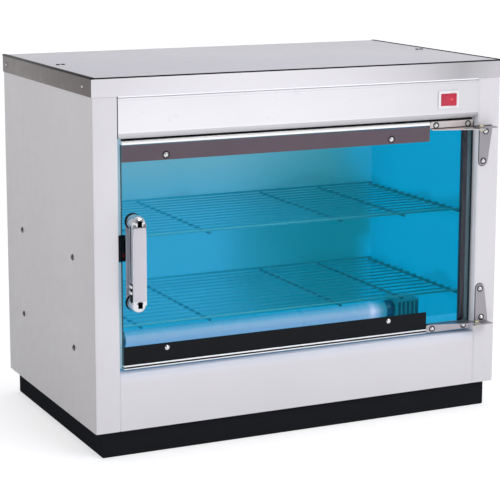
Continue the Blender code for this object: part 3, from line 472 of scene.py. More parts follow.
# The white enamels carry painted shade in their steps; the side enamel is a darker, shaded copy of
# the white, and the header's a brighter copy.
WHITE = enamel("off_white_enamel", rgb("e0dee3"), bands=FRONT_BANDS, across=FRONT_ACROSS)
SIDE = enamel("shaded_side_enamel", rgb("d3d0d2"), bands=SIDE_BANDS, inward=SIDE_INWARD)
# Painted light: a glow that lifts the shaded inward return of the stiles.
RETURN_GLOW = enamel("return_glow_enamel", rgb("e4e4ea"), glow=0.16)
# Painted light: a glow that paints out the shade under the cap's lip.
SEAM = enamel("seam_glow_enamel", rgb("e4e4ea"), glow=0.45)
RAIL = enamel("rail_enamel", rgb("e0dee3"), bands=RAIL_BANDS, across=FRONT_ACROSS)
BRIGHT = enamel("header_enamel", rgb("f4f3f8"), 0.32, bands=HEADER_BANDS, across=HEADER_ACROSS)
BLACK = enamel("black_enamel", rgb("202124"), 0.65, coat=0.0, peel=0.4, shine=0.0)
CAP_TOP = enamel("cap_laminate", rgb("cac9d1"), 0.42)
# Painted reflection: the lip's steps across the front and the cap's dark ends stand in for what the
# stainless sheet reflects.
CAP_LIP = enamel("cap_lip", rgb("edebf0"), 0.34, across=LIP_ACROSS)
CAP_END_REFLECTION = enamel("dark_reflection_sheet", rgb("635b59"), 0.42, coat=0.05)
CAP_LINE = moulded("cap_edge_line", rgb("141416"), 0.45, shine=0.2)
BRUSHED = metal("brushed_plate", rgb("d6cfcf"), 0.28, 0.5, variation=0.22, **BRUSHING)
# A shaded copy of the brushed plate, for the lower hinge's leaf.
BRUSHED_SHADED = metal("brushed_plate_shaded", rgb("bab4ba"), 0.35, 0.5, variation=0.12, **BRUSHING)
CHANNEL = metal("bright_channel", rgb("ffffff"), 0.3, 0.4, DRAWN, 160, bump=0.05, variation=0.02)
LEAF = metal("brushed_leaf", rgb("a8a4aa"), 0.34, 0.5, UPRIGHT, 260, bump=0.2, variation=0.08)
CHROME = metal("chrome_plate", rgb("dcdde2"), 0.05, 0.1, metallic=0.75, **MIRROR)
# A duller, greyer copy of the chrome for the bar's sides: a painted grey reflection.
SHADED_CHROME = metal(
    "shaded_side_chrome", rgb("c4c6d0"), 0.15, 0.25, UPRIGHT, 120, bump=0.05, variation=0.12,
    metallic=0.4,
)
# Painted highlight: a near-white, barely metallic finish for the beads on the handle's side.
HIGHLIGHT_CHROME = metal("highlight_rib", rgb("f8f8fa"), 0.08, 0.15, metallic=0.2, **MIRROR)
ZINC = metal("zinc_plate", rgb("cfd1d4"), 0.25, 0.4, scale=120, bump=0.05)
SCREW = metal("plated_screw", rgb("d8d8da"), 0.16, 0.28, scale=300, bump=0.05, variation=0.04)
DARK_SCREW = metal("dark_screw", rgb("66676b"), 0.15, 0.25, scale=300, bump=0.05, variation=0.1)
BRASS = metal("turned_brass", rgb("c9c4a8"), 0.25, 0.38, scale=300, bump=0.05)
WIRE = wire_metal("plated_wire", WIRE_TONES)
WIRE_LIGHT = wire_metal("lit_wire", EDGE_TONES)
WIRE_ROD = wire_metal("shaded_rod", ROD_TONES)
GALVANISED = metal("galvanised_sheet", rgb("a5a8ac"), 0.4, 0.6, scale=60, bump=0.05, variation=0.1)
WHITE_PLASTIC = moulded("white_moulding", rgb("f0eff3"), 0.3, depth=0.03, coat=0.2)
GRIP = moulded("grip_moulding", rgb("cecad4"), 0.32, depth=0.03, coat=0.15)
PALE_PLASTIC = moulded("pale_moulding", rgb("bcd0d2"), 0.4)
# The holders' and nuts' blues are painted lamp light and shade, carried as glows.
SHADED_HOLDER = moulded("shaded_moulding", rgb("0a6474"), 0.5, **SHADED)
SHADED_HOLDER_RIB = moulded("shaded_rib", rgb("083f4c"), 0.5, **SHADED)
LAMPLIT_HOLDER = moulded("lit_moulding", rgb("2884ac"), 0.5, **LIT)
LIT_NUT = moulded("lit_nut", rgb("0884a8"), 0.5, **LIT)
BLACK_PLASTIC = moulded("black_moulding", rgb("141416"), 0.42, shine=0.3)
# Its small glow is painted lamp light.
RED_MARK = moulded("catch_mark", rgb("781422"), 0.5, shine=0.2, glow=0.1)
# Painted reflection: black for the square in each post's dome, the dark reflection at its middle.
REFLECTION_BLACK = moulded("dark_reflection_spot", rgb("040404"), 0.8, shine=0.0)
RUBBER = moulded("black_rubber", rgb("151416"), 0.6, grain=500, depth=0.15, shine=0.2)
SEAL_DULL = moulded("seal_face", rgb("3e3c44"), 0.4, shine=0.25, **SEAL)
# Painted lamp light: the seal's lip takes a teal tone and a glow of the lamp.
LAMPLIT_SEAL_LIP = moulded("seal_lip", rgb("526871"), 0.35, shine=0.3, glow=0.2, **SEAL)
# Painted reflection: the top strip takes the brownish purple its dark face reflects; the bottom
# strip shows the parts' own black.
STRIP_TOP_REFLECTION = moulded(
    "strip_top_painted_reflection", rgb("60545d"), 0.35, depth=0.02, variation=0.04, shine=0.22
)
STRIP_LOW = moulded(
    "strip_laminate_low", rgb("121419"), 0.4, depth=0.02, variation=0.06, shine=0.12
)
# Painted lamp light: a glow on the pale stop seen through the gap beside the glass.
STOP_GLOW = moulded("stop_strip_glow", rgb("94b4c2"), 0.45, shine=0.3, glow=0.5)
EDGE_TEAL = moulded("glass_edge", rgb("082a33"), 0.15, shine=0.5)
# Painted lamp light: the lamp's caps take a teal cast of its blue light.
LAMPLIT_CAP_METAL = metal("lamp_cap_metal", rgb("3c7c8c"), 0.4, 0.5, scale=200, bump=0.05)
GLASS = pane()
TUBE = lamp_tube()
RED = glowing_red()
LIT_BACK = lit_liner("lit_back", shading=BACK_SHADING)
LIT_SIDE = lit_liner("lit_side", SIDE_TONES, 1.0)
LIT_FLOOR = lit_liner("lit_floor", FLOOR_TONES)


# Putting pieces in the scene

WELD = 0.001 * MM
FLAT = math.radians(0.5)
BEVEL_ANGLE = math.radians(30)
CREASE = 32
SHEET_CREASE = 40
BLOCK_CREASE = 50


def added(obj, body, slot, *materials):
    """Puts a piece in the scene that rides a body."""
    bpy.context.scene.collection.objects.link(obj)
    for material in materials:
        obj.data.materials.append(material)
    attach(obj, body)


def settle(obj, node, *materials):
    """Puts a new piece in the scene in place of a CAD node."""
    added(obj, BODY_OF[node], SLOT_OF[node], *materials)
    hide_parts(node)


def meshed(bm, name, angle=None):
    """An object of the built mesh, smooth where its faces meet at less than angle degrees."""
    mesh = bpy.data.meshes.new(name)
    bm.to_mesh(mesh)
    bm.free()
    if angle:
        mesh.shade_smooth()
        mesh.set_sharp_from_angle(angle=math.radians(angle))
    return bpy.data.objects.new(name, mesh)


def finish_mesh(bm, name, angle=CREASE):
    """An object of a mesh made from scratch, with its faces turned outwards first."""
    bmesh.ops.recalc_face_normals(bm, faces=bm.faces)
    return meshed(bm, name, angle)


def cleaned(node):
    """The node's shape without the triangles that share a plane."""
    bm = bmesh.new()
    bm.from_mesh(NODES[node].data)
    bmesh.ops.remove_doubles(bm, verts=bm.verts, dist=WELD)
    bmesh.ops.dissolve_limit(bm, angle_limit=FLAT, verts=bm.verts, edges=bm.edges)
    bm.normal_update()
    return bm


def refined(node, material, width=0.35 * MM, segments=2, pick=None, others=()):
    """The node's own shape with eased edges. pick chooses a material slot for each face."""
    bm = cleaned(node)
    if pick:
        for face in bm.faces:
            face.material_index = pick(face.normal, face.calc_center_median())
    obj = meshed(bm, node + "_dressed", SHEET_CREASE)
    settle(obj, node, material, *others)
    bevel = obj.modifiers.new("Edges", "BEVEL")
    bevel.width = width
    bevel.segments = segments
    bevel.limit_method = "ANGLE"
    bevel.angle_limit = BEVEL_ANGLE
    bevel.harden_normals = True


# Shapes


def facing(direction, place):
    """A matrix whose Z looks along direction."""
    turn = Vector((0, 0, 1)).rotation_difference(Vector(direction)).to_matrix().to_4x4()
    return Matrix.Translation(place) @ turn


def revolve(bm, profile, matrix, steps=32, index=0):
    """Adds a closed turned body: profile is (radius, height), matrix puts it in place."""
    rings = []
    for radius, height in profile:
        if radius == 0:
            rings.append([bm.verts.new(matrix @ Vector((0, 0, height)))])
            continue
        turns = [2 * math.pi * step / steps for step in range(steps)]
        spots = [Vector((radius * math.cos(a), radius * math.sin(a), height)) for a in turns]
        rings.append([bm.verts.new(matrix @ spot) for spot in spots])
    for upper, lower in zip(rings, rings[1:]):
        for step in range(steps):
            after = (step + 1) % steps
            corners = [upper[step % len(upper)], lower[step % len(lower)]]
            if len(lower) > 1:
                corners.append(lower[after])
            if len(upper) > 1:
                corners.append(upper[after])
            bm.faces.new(corners).material_index = index


def disc(bm, radius, top, base, matrix, steps, index):
    """Adds a plain turned disc between two heights."""
    revolve(bm, [(0, top), (radius, top), (radius, base), (0, base)], matrix, steps, index)


def dome(radius, height, steps=6):
    """Profile points of a shallow dome from its pole to its rim."""
    turns = [math.pi / 2 * i / steps for i in range(steps + 1)]
    return [(radius * math.sin(a), height * math.cos(a)) for a in turns]


def rod(bm, start, end, radius, steps=12, index=0):
    """Adds a round bar with eased ends."""
    start, end = Vector(start), Vector(end)
    length = (end - start).length
    ease = min(radius * 0.35, length / 4)
    profile = [
        (0, length), (radius - ease, length), (radius, length - ease), (radius, ease),
        (radius - ease, 0), (0, 0),
    ]
    revolve(bm, profile, facing(end - start, start), steps, index)


def rounded_block(bm, low, high, width, segments=3, index=0):
    """Adds a box between two corners with its edges eased by width."""
    made = bmesh.ops.create_cube(bm, size=1.0)["verts"]
    low, high = Vector(low), Vector(high)
    size = high - low
    centre = (high + low) / 2
    for vert in made:
        vert.co = Vector((vert.co.x * size.x, vert.co.y * size.y, vert.co.z * size.z)) + centre
    edges = {edge for vert in made for edge in vert.link_edges}
    faces = {face for vert in made for face in vert.link_faces}
    for face in faces:
        face.material_index = index
    done = bmesh.ops.bevel(
        bm, geom=list(edges), offset=width, segments=segments, profile=0.5, affect="EDGES"
    )
    for face in done["faces"]:
        face.material_index = index


def block_piece(name, blocks, ease, body, slot, material):
    """One piece of several eased blocks, each given by its low and its high corner."""
    bm = bmesh.new()
    for low, high in blocks:
        rounded_block(bm, low, high, ease, 2)
    added(finish_mesh(bm, name, BLOCK_CREASE), body, slot, material)


# Screws and pins

CROSS_ARM_SHARE = 0.7
CROSS_HALF_SHARE = 0.24
CROSS_FLOOR_SHARE = 0.8
CROSS_DEPTH_SHARE = 0.2


def cross_recess(bm, matrix, top, radius):
    """A cross pressed into a screw's head: flared walls down to a small floor, painted black as
    shade.
    """
    arm = radius * CROSS_ARM_SHARE
    half = radius * CROSS_HALF_SHARE
    outline = [
        (arm, half), (half, half), (half, arm), (-half, arm), (-half, half), (-arm, half),
        (-arm, -half), (-half, -half), (-half, -arm), (half, -arm), (half, -half), (arm, -half),
    ]
    rim = [bm.verts.new(matrix @ Vector((x, y, top))) for x, y in outline]
    floor_z = top - radius * CROSS_DEPTH_SHARE
    inner = [(x * CROSS_FLOOR_SHARE, y * CROSS_FLOOR_SHARE, floor_z) for x, y in outline]
    low = [bm.verts.new(matrix @ Vector(spot)) for spot in inner]
    for index in range(len(outline)):
        after = (index + 1) % len(outline)
        bm.faces.new((rim[index], rim[after], low[after], low[index])).material_index = 1
    bm.faces.new(low[::-1]).material_index = 1


SCREW_RADIUS = 3.4 * MM
STRIP_SCREW_RADIUS = 3.7 * MM
RAIL_SCREW_RADIUS = 3.0 * MM
SCREW_RISE = 2.15 * MM
SCREW_FACE_SHARE = 0.5
SCREW_FACE_DEPTH = 0.2 * MM
CROSS_TOP = -0.17 * MM
SHANK_RADIUS = 1.8 * MM
WASHER_RIM = 1.2 * MM
WASHER_THICK = 0.25 * MM
NUT_RADIUS = 3.15 * MM
NUT_THICK = 1.6 * MM
NUT_EASE = 0.25 * MM


def dressed_screw(node, direction, head=SCREW, radius=SCREW_RADIUS, nut_tone=SCREW):
    """A domed cross-head screw over a black washer ring that paints the shade around its head, with
    a shank and a six-sided nut.
    """
    low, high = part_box(node)
    direction = Vector(direction)
    length = abs((high - low).dot(direction))
    tip = (low + high) / 2 + direction * length / 2
    matrix = facing(direction, tip)
    face = radius * SCREW_FACE_SHARE
    nut = NUT_THICK - length
    bm = bmesh.new()
    profile = [(0, -SCREW_FACE_DEPTH), (face, -SCREW_FACE_DEPTH)]
    crown = dome(radius, SCREW_RISE * 0.85)
    profile += [(r, h - SCREW_RISE * 0.95) for r, h in crown if r > face]
    profile += [(radius, -SCREW_RISE), (SHANK_RADIUS, -SCREW_RISE), (SHANK_RADIUS, nut), (0, nut)]
    revolve(bm, profile, matrix, 24)
    cross_recess(bm, matrix, CROSS_TOP, radius)
    disc(bm, radius + WASHER_RIM, WASHER_THICK - SCREW_RISE, -SCREW_RISE, matrix, 24, 1)
    rim = NUT_RADIUS - NUT_EASE
    profile = [
        (0, nut), (rim, nut), (NUT_RADIUS, nut - NUT_EASE), (NUT_RADIUS, NUT_EASE - length),
        (rim, -length), (0, -length),
    ]
    revolve(bm, profile, matrix, 6, 2)
    settle(finish_mesh(bm, node + "_dressed"), node, head, RUBBER, nut_tone)


PIN_RADIUS = 1.98 * MM
PIN_HEAD = 3.8 * MM
PIN_HEAD_DROP = 2.85 * MM
PIN_NUT_HEIGHT = 2.35 * MM
PIN_EASE = 0.5 * MM


def dressed_pin(node, up):
    """A hinge pin: a turned head outside the tongue and a nut inside the flange."""
    low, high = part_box(node)
    length = high.z - low.z
    matrix = facing((0, 0, up), (low + high) / 2 + Vector((0, 0, up * length / 2)))
    nut = PIN_NUT_HEIGHT - length
    eased = PIN_HEAD - PIN_EASE
    profile = [
        (0, 0), (2.4 * MM, 0), (eased, -0.3 * MM), (PIN_HEAD, -0.9 * MM),
        (PIN_HEAD, -PIN_HEAD_DROP), (PIN_RADIUS, -PIN_HEAD_DROP), (PIN_RADIUS, nut),
        (PIN_HEAD, nut), (PIN_HEAD, PIN_EASE - length), (eased, -length),
        (0, -length),
    ]
    bm = bmesh.new()
    revolve(bm, profile, matrix, 28)
    settle(finish_mesh(bm, node + "_dressed"), node, BRASS)


# Shelves and lamp

ROD_SHARES = (-1.0, -0.69, -0.345, 0.345, 0.69, 1.0)
WIRE_COUNT = 14
SHELF_DEPTH = 254 * MM
ROD_RADIUS = 1.9 * MM
EDGE_WIRE_RADIUS = 1.7 * MM
THIN_WIRE_RADIUS = 1.1 * MM
OVERHANG = 1.2 * MM
WIRE_WELD = 0.45 * MM


def dressed_shelf(node):
    """Round welded wires in the places of the CAD shelf's faceted ones."""
    low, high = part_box(node)
    rod_z = low.z + ROD_RADIUS
    front = (low.y + high.y) / 2 - SHELF_DEPTH / 2
    half = high.x - OVERHANG - ROD_RADIUS
    bm = bmesh.new()
    for share in ROD_SHARES:
        x = half * share
        rod(bm, (x, low.y, rod_z), (x, high.y, rod_z), ROD_RADIUS, 14, 2)
    for index in range(WIRE_COUNT):
        y = front + SHELF_DEPTH * index / (WIRE_COUNT - 1)
        at_edge = index in (0, WIRE_COUNT - 1)
        radius = EDGE_WIRE_RADIUS if at_edge else THIN_WIRE_RADIUS
        z = rod_z + ROD_RADIUS + radius - WIRE_WELD
        rod(bm, (low.x, y, z), (high.x, y, z), radius, 14 if at_edge else 10)
    bm.normal_update()
    # The front wire's upward faces take the lighter tone: a painted highlight on its top.
    for face in bm.faces:
        near_front = abs(face.calc_center_median().y - front) < EDGE_WIRE_RADIUS * 1.1
        upward = face.normal.z > 0.25 and abs(face.normal.x) < 0.1
        if near_front and upward and face.material_index == 0:
            face.material_index = 1
    settle(finish_mesh(bm, node + "_dressed", BLOCK_CREASE), node, WIRE, WIRE_LIGHT, WIRE_ROD)


TUBE_RADIUS = 12.7 * MM
CAP_RADIUS = 13.05 * MM
CAP_LENGTH = 14 * MM
LAMP_PIN_LENGTH = 7 * MM
LAMP_PIN_RADIUS = 1.15 * MM
LAMP_PIN_OFFSET = 6.35 * MM
LAMP_PIN_ROOT = 0.5 * MM
TUBE_OVERLAP = 2 * MM


def dressed_lamp():
    """The glass tube with its two metal caps and their pins."""
    low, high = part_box("uv_lamp")
    centre = (low + high) / 2
    half = (high.x - low.x) / 2 - LAMP_PIN_LENGTH
    shoulder = half - CAP_LENGTH
    reach = shoulder + TUBE_OVERLAP
    bm = bmesh.new()
    disc(bm, TUBE_RADIUS, reach, -reach, facing((1, 0, 0), centre), 48, 0)
    mouth, plate = TUBE_RADIUS - 0.2 * MM, shoulder + 1 * MM
    profile = [
        (0, half), (CAP_RADIUS - 1.5 * MM, half), (CAP_RADIUS - 0.4 * MM, half - 0.5 * MM),
        (CAP_RADIUS, half - 1.6 * MM), (CAP_RADIUS, plate), (CAP_RADIUS - 0.3 * MM, shoulder),
        (mouth, shoulder), (mouth, plate), (0, plate),
    ]
    for end in (1, -1):
        revolve(bm, profile, facing((end, 0, 0), centre), 40, 1)
        for side in (1, -1):
            y = side * LAMP_PIN_OFFSET
            root = centre + Vector((end * (half - LAMP_PIN_ROOT), y, 0))
            tip = centre + Vector((end * (half + LAMP_PIN_LENGTH), y, 0))
            rod(bm, root, tip, LAMP_PIN_RADIUS, 12, 1)
    settle(finish_mesh(bm, "uv_lamp_dressed"), "uv_lamp", TUBE, LAMPLIT_CAP_METAL)


RIB_COUNT = 5
RIB_SHARE = 0.6
RIB_PROUD, RIB_SUNK = 0.9 * MM, 0.3 * MM
RIB_FOOT, RIB_HEAD = 2 * MM, 3 * MM
RIB_EASE = 0.4 * MM


def dressed_holder(side):
    """A lamp holder with moulded ribs over the CAD block."""
    node = "lamp_holder_" + side
    # The left holder takes the painted lamp light, the right one the painted shade.
    block, rib = (LAMPLIT_HOLDER, LAMPLIT_HOLDER) if side == "left" else (SHADED_HOLDER, SHADED_HOLDER_RIB)
    refined(node, block, 0.5 * MM)
    low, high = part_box(node)
    pitch = (high.x - low.x) / RIB_COUNT
    blocks = []
    for index in range(RIB_COUNT):
        left = low.x + pitch * (index + (1 - RIB_SHARE) / 2)
        start = (left, low.y - RIB_PROUD, low.z + RIB_FOOT)
        blocks.append((start, (left + pitch * RIB_SHARE, low.y + RIB_SUNK, high.z - RIB_HEAD)))
    block_piece(node + "_ribs", blocks, RIB_EASE, "cabinet", SLOT_OF[node], rib)


# Handle

BOW_LOW, BOW_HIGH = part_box("handle_bow")
GRIP_LOW, GRIP_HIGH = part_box("handle_grip")
BOW_X = (BOW_LOW.x + BOW_HIGH.x) / 2
POST_RADIUS = (BOW_HIGH.x - BOW_LOW.x) / 2 - 0.05 * MM
POST_CROWN = 5 * MM
POST_FOOT = 4.2 * MM
BOOT_RIM = 0.5 * MM
BOOT_FLARE = 0.6 * MM
BOOT_HEIGHT = 4.4 * MM
# A black square in each dome's face, its dark reflection painted on.
BLACK_SPOT_HALF = 3 * MM
BLACK_SPOT_OUTER, BLACK_SPOT_INNER = 3.4 * MM, 4.4 * MM
BLACK_SPOT_PROUD, BLACK_SPOT_DEPTH = 0.35 * MM, 4 * MM
BAR_DEPTH = 11.2 * MM
REAR_LAYER = 2.4 * MM
BAND_START, BAND_END = 2.2 * MM, 5.2 * MM
LAP = 0.2 * MM
SIDE_START = 28 * MM
# Two bright beads low on the handle's side, painted highlights of its chrome.
BEAD_RISES = (13 * MM, 21 * MM)
BEAD_HEIGHT = 5.4 * MM
BEAD_PROUD = 0.6 * MM
BEAD_SET_IN = 0.4 * MM
BEAD_EASE = 2.2 * MM
PLATED, RUBBER_AND_DARK_LINES, SIDE_PLATE, REFLECTION_SPOT, HIGHLIGHT_BEAD = range(5)


def handle_post(bm, z, inward):
    """A domed post in its rubber boot, with a black square block in its face that paints the dome's
    dark reflection.
    """
    matrix = facing((0, -1, 0), (BOW_X, BOW_HIGH.y, z))
    length = BOW_HIGH.y - GRIP_LOW.y
    profile = [(r, length + h - POST_CROWN) for r, h in dome(POST_RADIUS, POST_CROWN, 8)]
    revolve(bm, profile + [(POST_RADIUS, POST_FOOT), (0, POST_FOOT)], matrix, 48, PLATED)
    boot = POST_RADIUS + BOOT_RIM
    collar = [
        (0, BOOT_HEIGHT), (boot - 0.5 * MM, BOOT_HEIGHT), (boot, BOOT_HEIGHT - 0.8 * MM),
        (boot + BOOT_FLARE, 0.5 * MM), (boot + BOOT_FLARE, -0.1 * MM), (0, -0.1 * MM),
    ]
    revolve(bm, collar, matrix, 40, RUBBER_AND_DARK_LINES)
    ends = sorted((z - inward * BLACK_SPOT_OUTER, z + inward * BLACK_SPOT_INNER))
    start = (BOW_X - BLACK_SPOT_HALF, GRIP_LOW.y - BLACK_SPOT_PROUD, ends[0])
    end = (BOW_X + BLACK_SPOT_HALF, GRIP_LOW.y + BLACK_SPOT_DEPTH, ends[1])
    rounded_block(bm, start, end, 0.3 * MM, 2, REFLECTION_SPOT)


def dressed_handle():
    """Chrome posts with domed faces, a layered bar behind the grip, and the grip let in."""
    front, seat, foot = GRIP_LOW.y, GRIP_HIGH.y, BOW_HIGH.y
    bottom, top = BOW_LOW.z + POST_RADIUS, BOW_HIGH.z - POST_RADIUS
    bm = bmesh.new()
    handle_post(bm, top, -1)
    handle_post(bm, bottom, 1)
    back = seat + BAR_DEPTH
    rear = back - REAR_LAYER
    inner = POST_RADIUS - 0.5 * MM
    shoulder = bottom + SIDE_START
    # Besides the rubber boot, the rubber band between the side plates paints a groove's shade as a
    # dark line, and the rubber core the dark reflection between the beads.
    for half, start, end, base, ease, slot in (
        (inner, front + 0.8 * MM, front + 2.4 * MM, bottom, 0.3 * MM, PLATED),
        (inner, seat - LAP, seat + BAND_START + LAP, shoulder, 0.3 * MM, SIDE_PLATE),
        (inner + 0.1 * MM, seat + BAND_START, seat + BAND_END, bottom, 0.2 * MM, RUBBER_AND_DARK_LINES),
        (inner, seat + BAND_END - LAP, rear, shoulder, 0.8 * MM, SIDE_PLATE),
        (inner - 0.5 * MM, seat - LAP, rear, bottom, 0.4 * MM, RUBBER_AND_DARK_LINES),
        (inner - 1.2 * MM, back - 3 * MM, back, bottom, 0.5 * MM, PLATED),
        (inner + 0.4 * MM, foot - 0.5 * MM, foot + LAP, bottom, 0.2 * MM, SIDE_PLATE),
    ):
        rounded_block(bm, (BOW_X - half, start, base), (BOW_X + half, end, top), ease, 3, slot)
    reach = inner + BEAD_PROUD
    for rise in BEAD_RISES:
        start = (BOW_X - reach, seat + BEAD_SET_IN, bottom + rise)
        end = (BOW_X + reach, back - BEAD_SET_IN, bottom + rise + BEAD_HEIGHT)
        rounded_block(bm, start, end, BEAD_EASE, 4, HIGHLIGHT_BEAD)
    chromes = (CHROME, RUBBER, SHADED_CHROME, REFLECTION_BLACK, HIGHLIGHT_CHROME)
    settle(finish_mesh(bm, "handle_bow_dressed", 35), "handle_bow", *chromes)
    bm = bmesh.new()
    rim = Vector((0.9 * MM, 0, 0.4 * MM))
    rounded_block(bm, GRIP_LOW + rim, GRIP_HIGH - rim, 1.8 * MM, 5)
    settle(finish_mesh(bm, "handle_grip_dressed", 60), "handle_grip", GRIP)


# Cap

CAP_BACK = 0.17
TRIM_WIDTH, TRIM_FRONT = 5 * MM, 1.7 * MM
TRIM_SUNK, TRIM_PROUD = 1.6 * MM, 0.6 * MM
CAP_SCREWS = (("front", 31 * MM), ("back", 338 * MM))
CAP_SCREW_DROP = 12.5 * MM
RIVET_PLACES = (("left", 24.5 * MM, 180 * MM), ("right", 577.6 * MM, 183 * MM))
RIVET_OFFSET = 3.5 * MM


def cap_face(normal, centre):
    """Picks the cap's slots: its top, its ends with a painted dark reflection, its eased edges and
    its lips with a painted reflection.
    """
    if 0.15 < normal.z < 0.97 and centre.y < CAP_BACK:
        return 2
    if abs(normal.x) > 0.7:
        return 1
    return 3 if abs(normal.y) > 0.7 else 0


def cap_screw(name, side, place):
    """A small cross-head screw in the cap's end, over a dark washer ring that paints the shade
    around it.
    """
    matrix = facing((side, 0, 0), place)
    bm = bmesh.new()
    disc(bm, 3.2 * MM, 0.2 * MM, -0.3 * MM, matrix, 24, 1)
    head = dome(2.4 * MM, 1.1 * MM, 5) + [(2.4 * MM, -0.3 * MM), (0, -0.3 * MM)]
    revolve(bm, head, matrix, 24)
    cross_recess(bm, matrix, 1.13 * MM, 1.7 * MM)
    added(finish_mesh(bm, name), "cabinet", "zinc_steel", SCREW, RUBBER)


def rivet(bm, matrix):
    """A pale rivet in a dark ring, a painted dark reflection at its edge."""
    ring = [(0, 1.2), (2.0, 1.2), (2.6, 0.8), (2.7, -0.2), (0, -0.2)]
    head = [(0, 1.6), (0.9, 1.6), (1.3, 1.3), (1.3, 1.0), (0, 1.0)]
    revolve(bm, [(r * MM, h * MM) for r, h in ring], matrix, 20, 1)
    revolve(bm, [(r * MM, h * MM) for r, h in head], matrix, 16)


def dressed_cap():
    """The cap, with its edge trim, its side screws and the two pairs of rivets in its top."""
    refined("top_cap", CAP_TOP, 0.3 * MM, pick=cap_face, others=(CAP_END_REFLECTION, CAP_LINE, CAP_LIP))
    low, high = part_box("top_cap")
    base, crest = high.z - TRIM_SUNK, high.z + TRIM_PROUD
    edges = (
        ((low.x, low.y, base), (low.x + TRIM_WIDTH, high.y, crest)),
        ((high.x - TRIM_WIDTH, low.y, base), (high.x, high.y, crest)),
        ((low.x, low.y, base), (high.x, low.y + TRIM_FRONT, crest - 0.3 * MM)),
    )
    block_piece("cap_edge_trim", edges, 0.2 * MM, "cabinet", SLOT_OF["top_cap"], CAP_LINE)
    for word, side, x in (("left", -1, low.x), ("right", 1, high.x)):
        for end, y in CAP_SCREWS:
            cap_screw(f"cap_screw_{word}_{end}", side, (x, low.y + y, high.z - CAP_SCREW_DROP))
    for word, x, y in RIVET_PLACES:
        bm = bmesh.new()
        for offset in (-RIVET_OFFSET, RIVET_OFFSET):
            rivet(bm, facing((0, 0, 1), (low.x + x + offset, low.y + y, high.z)))
        added(finish_mesh(bm, "cap_rivets_" + word), "cabinet", "zinc_steel", ZINC, RUBBER)


# Shell

PANEL_X = 0.29
STILE_X = 0.265
STILE_BACK = -0.15


def inner_face(side):
    """Picks a side panel's slots: faces inside with painted lamp light, its broad outer face with
    painted shade, and its return with a painted glow.
    """

    def pick(normal, centre):
        broad = abs(centre.x) > PANEL_X
        if normal.x * side > 0.7 and broad:
            return 2
        inward = normal.x * -side > 0.7
        behind = normal.y > 0.7 and centre.y < STILE_BACK and abs(centre.x) > STILE_X
        if behind or (inward and broad):
            return 1
        return 3 if inward else 0

    return pick


def facing_front(normal, centre):
    return 1 if normal.y < -0.7 else 0


def underside(normal, centre):
    return 1 if normal.z < -0.3 else 0


def upper_side(normal, centre):
    return 1 if normal.z > 0.3 else 0


def dressed_shell():
    """The panels, pans, plinth and gland, and the shelf rails with their screws."""
    refined("left_side_panel", WHITE, pick=inner_face(-1), others=(LIT_SIDE, SIDE, RETURN_GLOW))
    refined("right_side_panel", WHITE, pick=inner_face(1), others=(LIT_SIDE, SIDE, RETURN_GLOW))
    refined("back_panel", WHITE, 0.25 * MM, pick=facing_front, others=(LIT_BACK,))
    refined("header_panel", BRIGHT)
    refined("bottom_rail", RAIL)
    refined("floor_pan", LIT_FLOOR, pick=underside, others=(GALVANISED,))
    refined("inner_ceiling", LIT_BACK, 0.25 * MM, pick=upper_side, others=(GALVANISED,))
    refined("base_pan", GALVANISED, 0.25 * MM)
    refined("plinth_base", BLACK, 0.4 * MM)
    refined("cord_gland", RUBBER, 0.5 * MM)
    for shelf in ("upper", "lower"):
        for side, outward in (("left", -1), ("right", 1)):
            refined(f"{shelf}_rail_{side}", LIT_SIDE, 0.3 * MM)
            for end in ("front", "back"):
                node = f"rail_screw_{side}_{shelf}_{end}"
                dressed_screw(node, (outward, 0, 0), DARK_SCREW, RAIL_SCREW_RADIUS, LIT_NUT)


# Seams, stops and the jamb seal

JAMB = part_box("right_side_panel")[0].x
RAIL_LOW, RAIL_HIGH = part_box("bottom_rail")
HEADER_LOW, HEADER_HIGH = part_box("header_panel")
SEAM_HALF = 0.7 * MM
SEAM_DEPTH = 3 * MM
RAIL_INSET, HEADER_INSET = 0.45 * MM, 0.6 * MM
SEAM_SHORT = 2.4 * MM
LINE_EASE = 0.1 * MM


def seam_fillers():
    """Thin white strips in the joints beside the rail and right of the header."""
    deep = RAIL_LOW.y + SEAM_DEPTH
    blocks = []
    for x in (-JAMB, JAMB):
        start = (x - SEAM_HALF, RAIL_LOW.y + RAIL_INSET, RAIL_LOW.z + 1 * MM)
        blocks.append((start, (x + SEAM_HALF, deep, RAIL_HIGH.z - SEAM_SHORT)))
    start = (JAMB - SEAM_HALF, RAIL_LOW.y + HEADER_INSET, HEADER_LOW.z + SEAM_SHORT)
    blocks.append((start, (JAMB + SEAM_HALF, deep, HEADER_HIGH.z - 2 * MM)))
    block_piece("seam_fillers", blocks, LINE_EASE, "cabinet", "white_paint", WHITE)


def header_seams():
    """The bright line under the cap's lip, a glowing strip that paints out the lip's shadow, and
    the dark joint left of the header.
    """
    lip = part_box("top_cap")[0].z
    start = (HEADER_LOW.x + 0.3 * MM, HEADER_LOW.y - 0.3 * MM, lip - 1.5 * MM)
    end = (HEADER_HIGH.x - 0.3 * MM, HEADER_LOW.y + 0.6 * MM, lip + 1 * MM)
    block_piece("header_seam", [(start, end)], LINE_EASE, "cabinet", "white_paint", SEAM)
    start = (-JAMB + 0.05 * MM, RAIL_LOW.y + 0.7 * MM, HEADER_LOW.z + 1 * MM)
    end = (HEADER_LOW.x, RAIL_LOW.y + 4 * MM, HEADER_HIGH.z - 2 * MM)
    block_piece("header_left_seam", [(start, end)], 0.05 * MM, "cabinet", "black_rubber", RUBBER)


STOP_FRONT, STOP_BACK = -161.9 * MM, -159.6 * MM
STOP_LAP = 1.6 * MM
STOP_EASE = 0.4 * MM
HEADER_STOP_GAP, HEADER_STOP_BACK = 1.2 * MM, 3.4 * MM
HEADER_STOP_DROP = 7.5 * MM


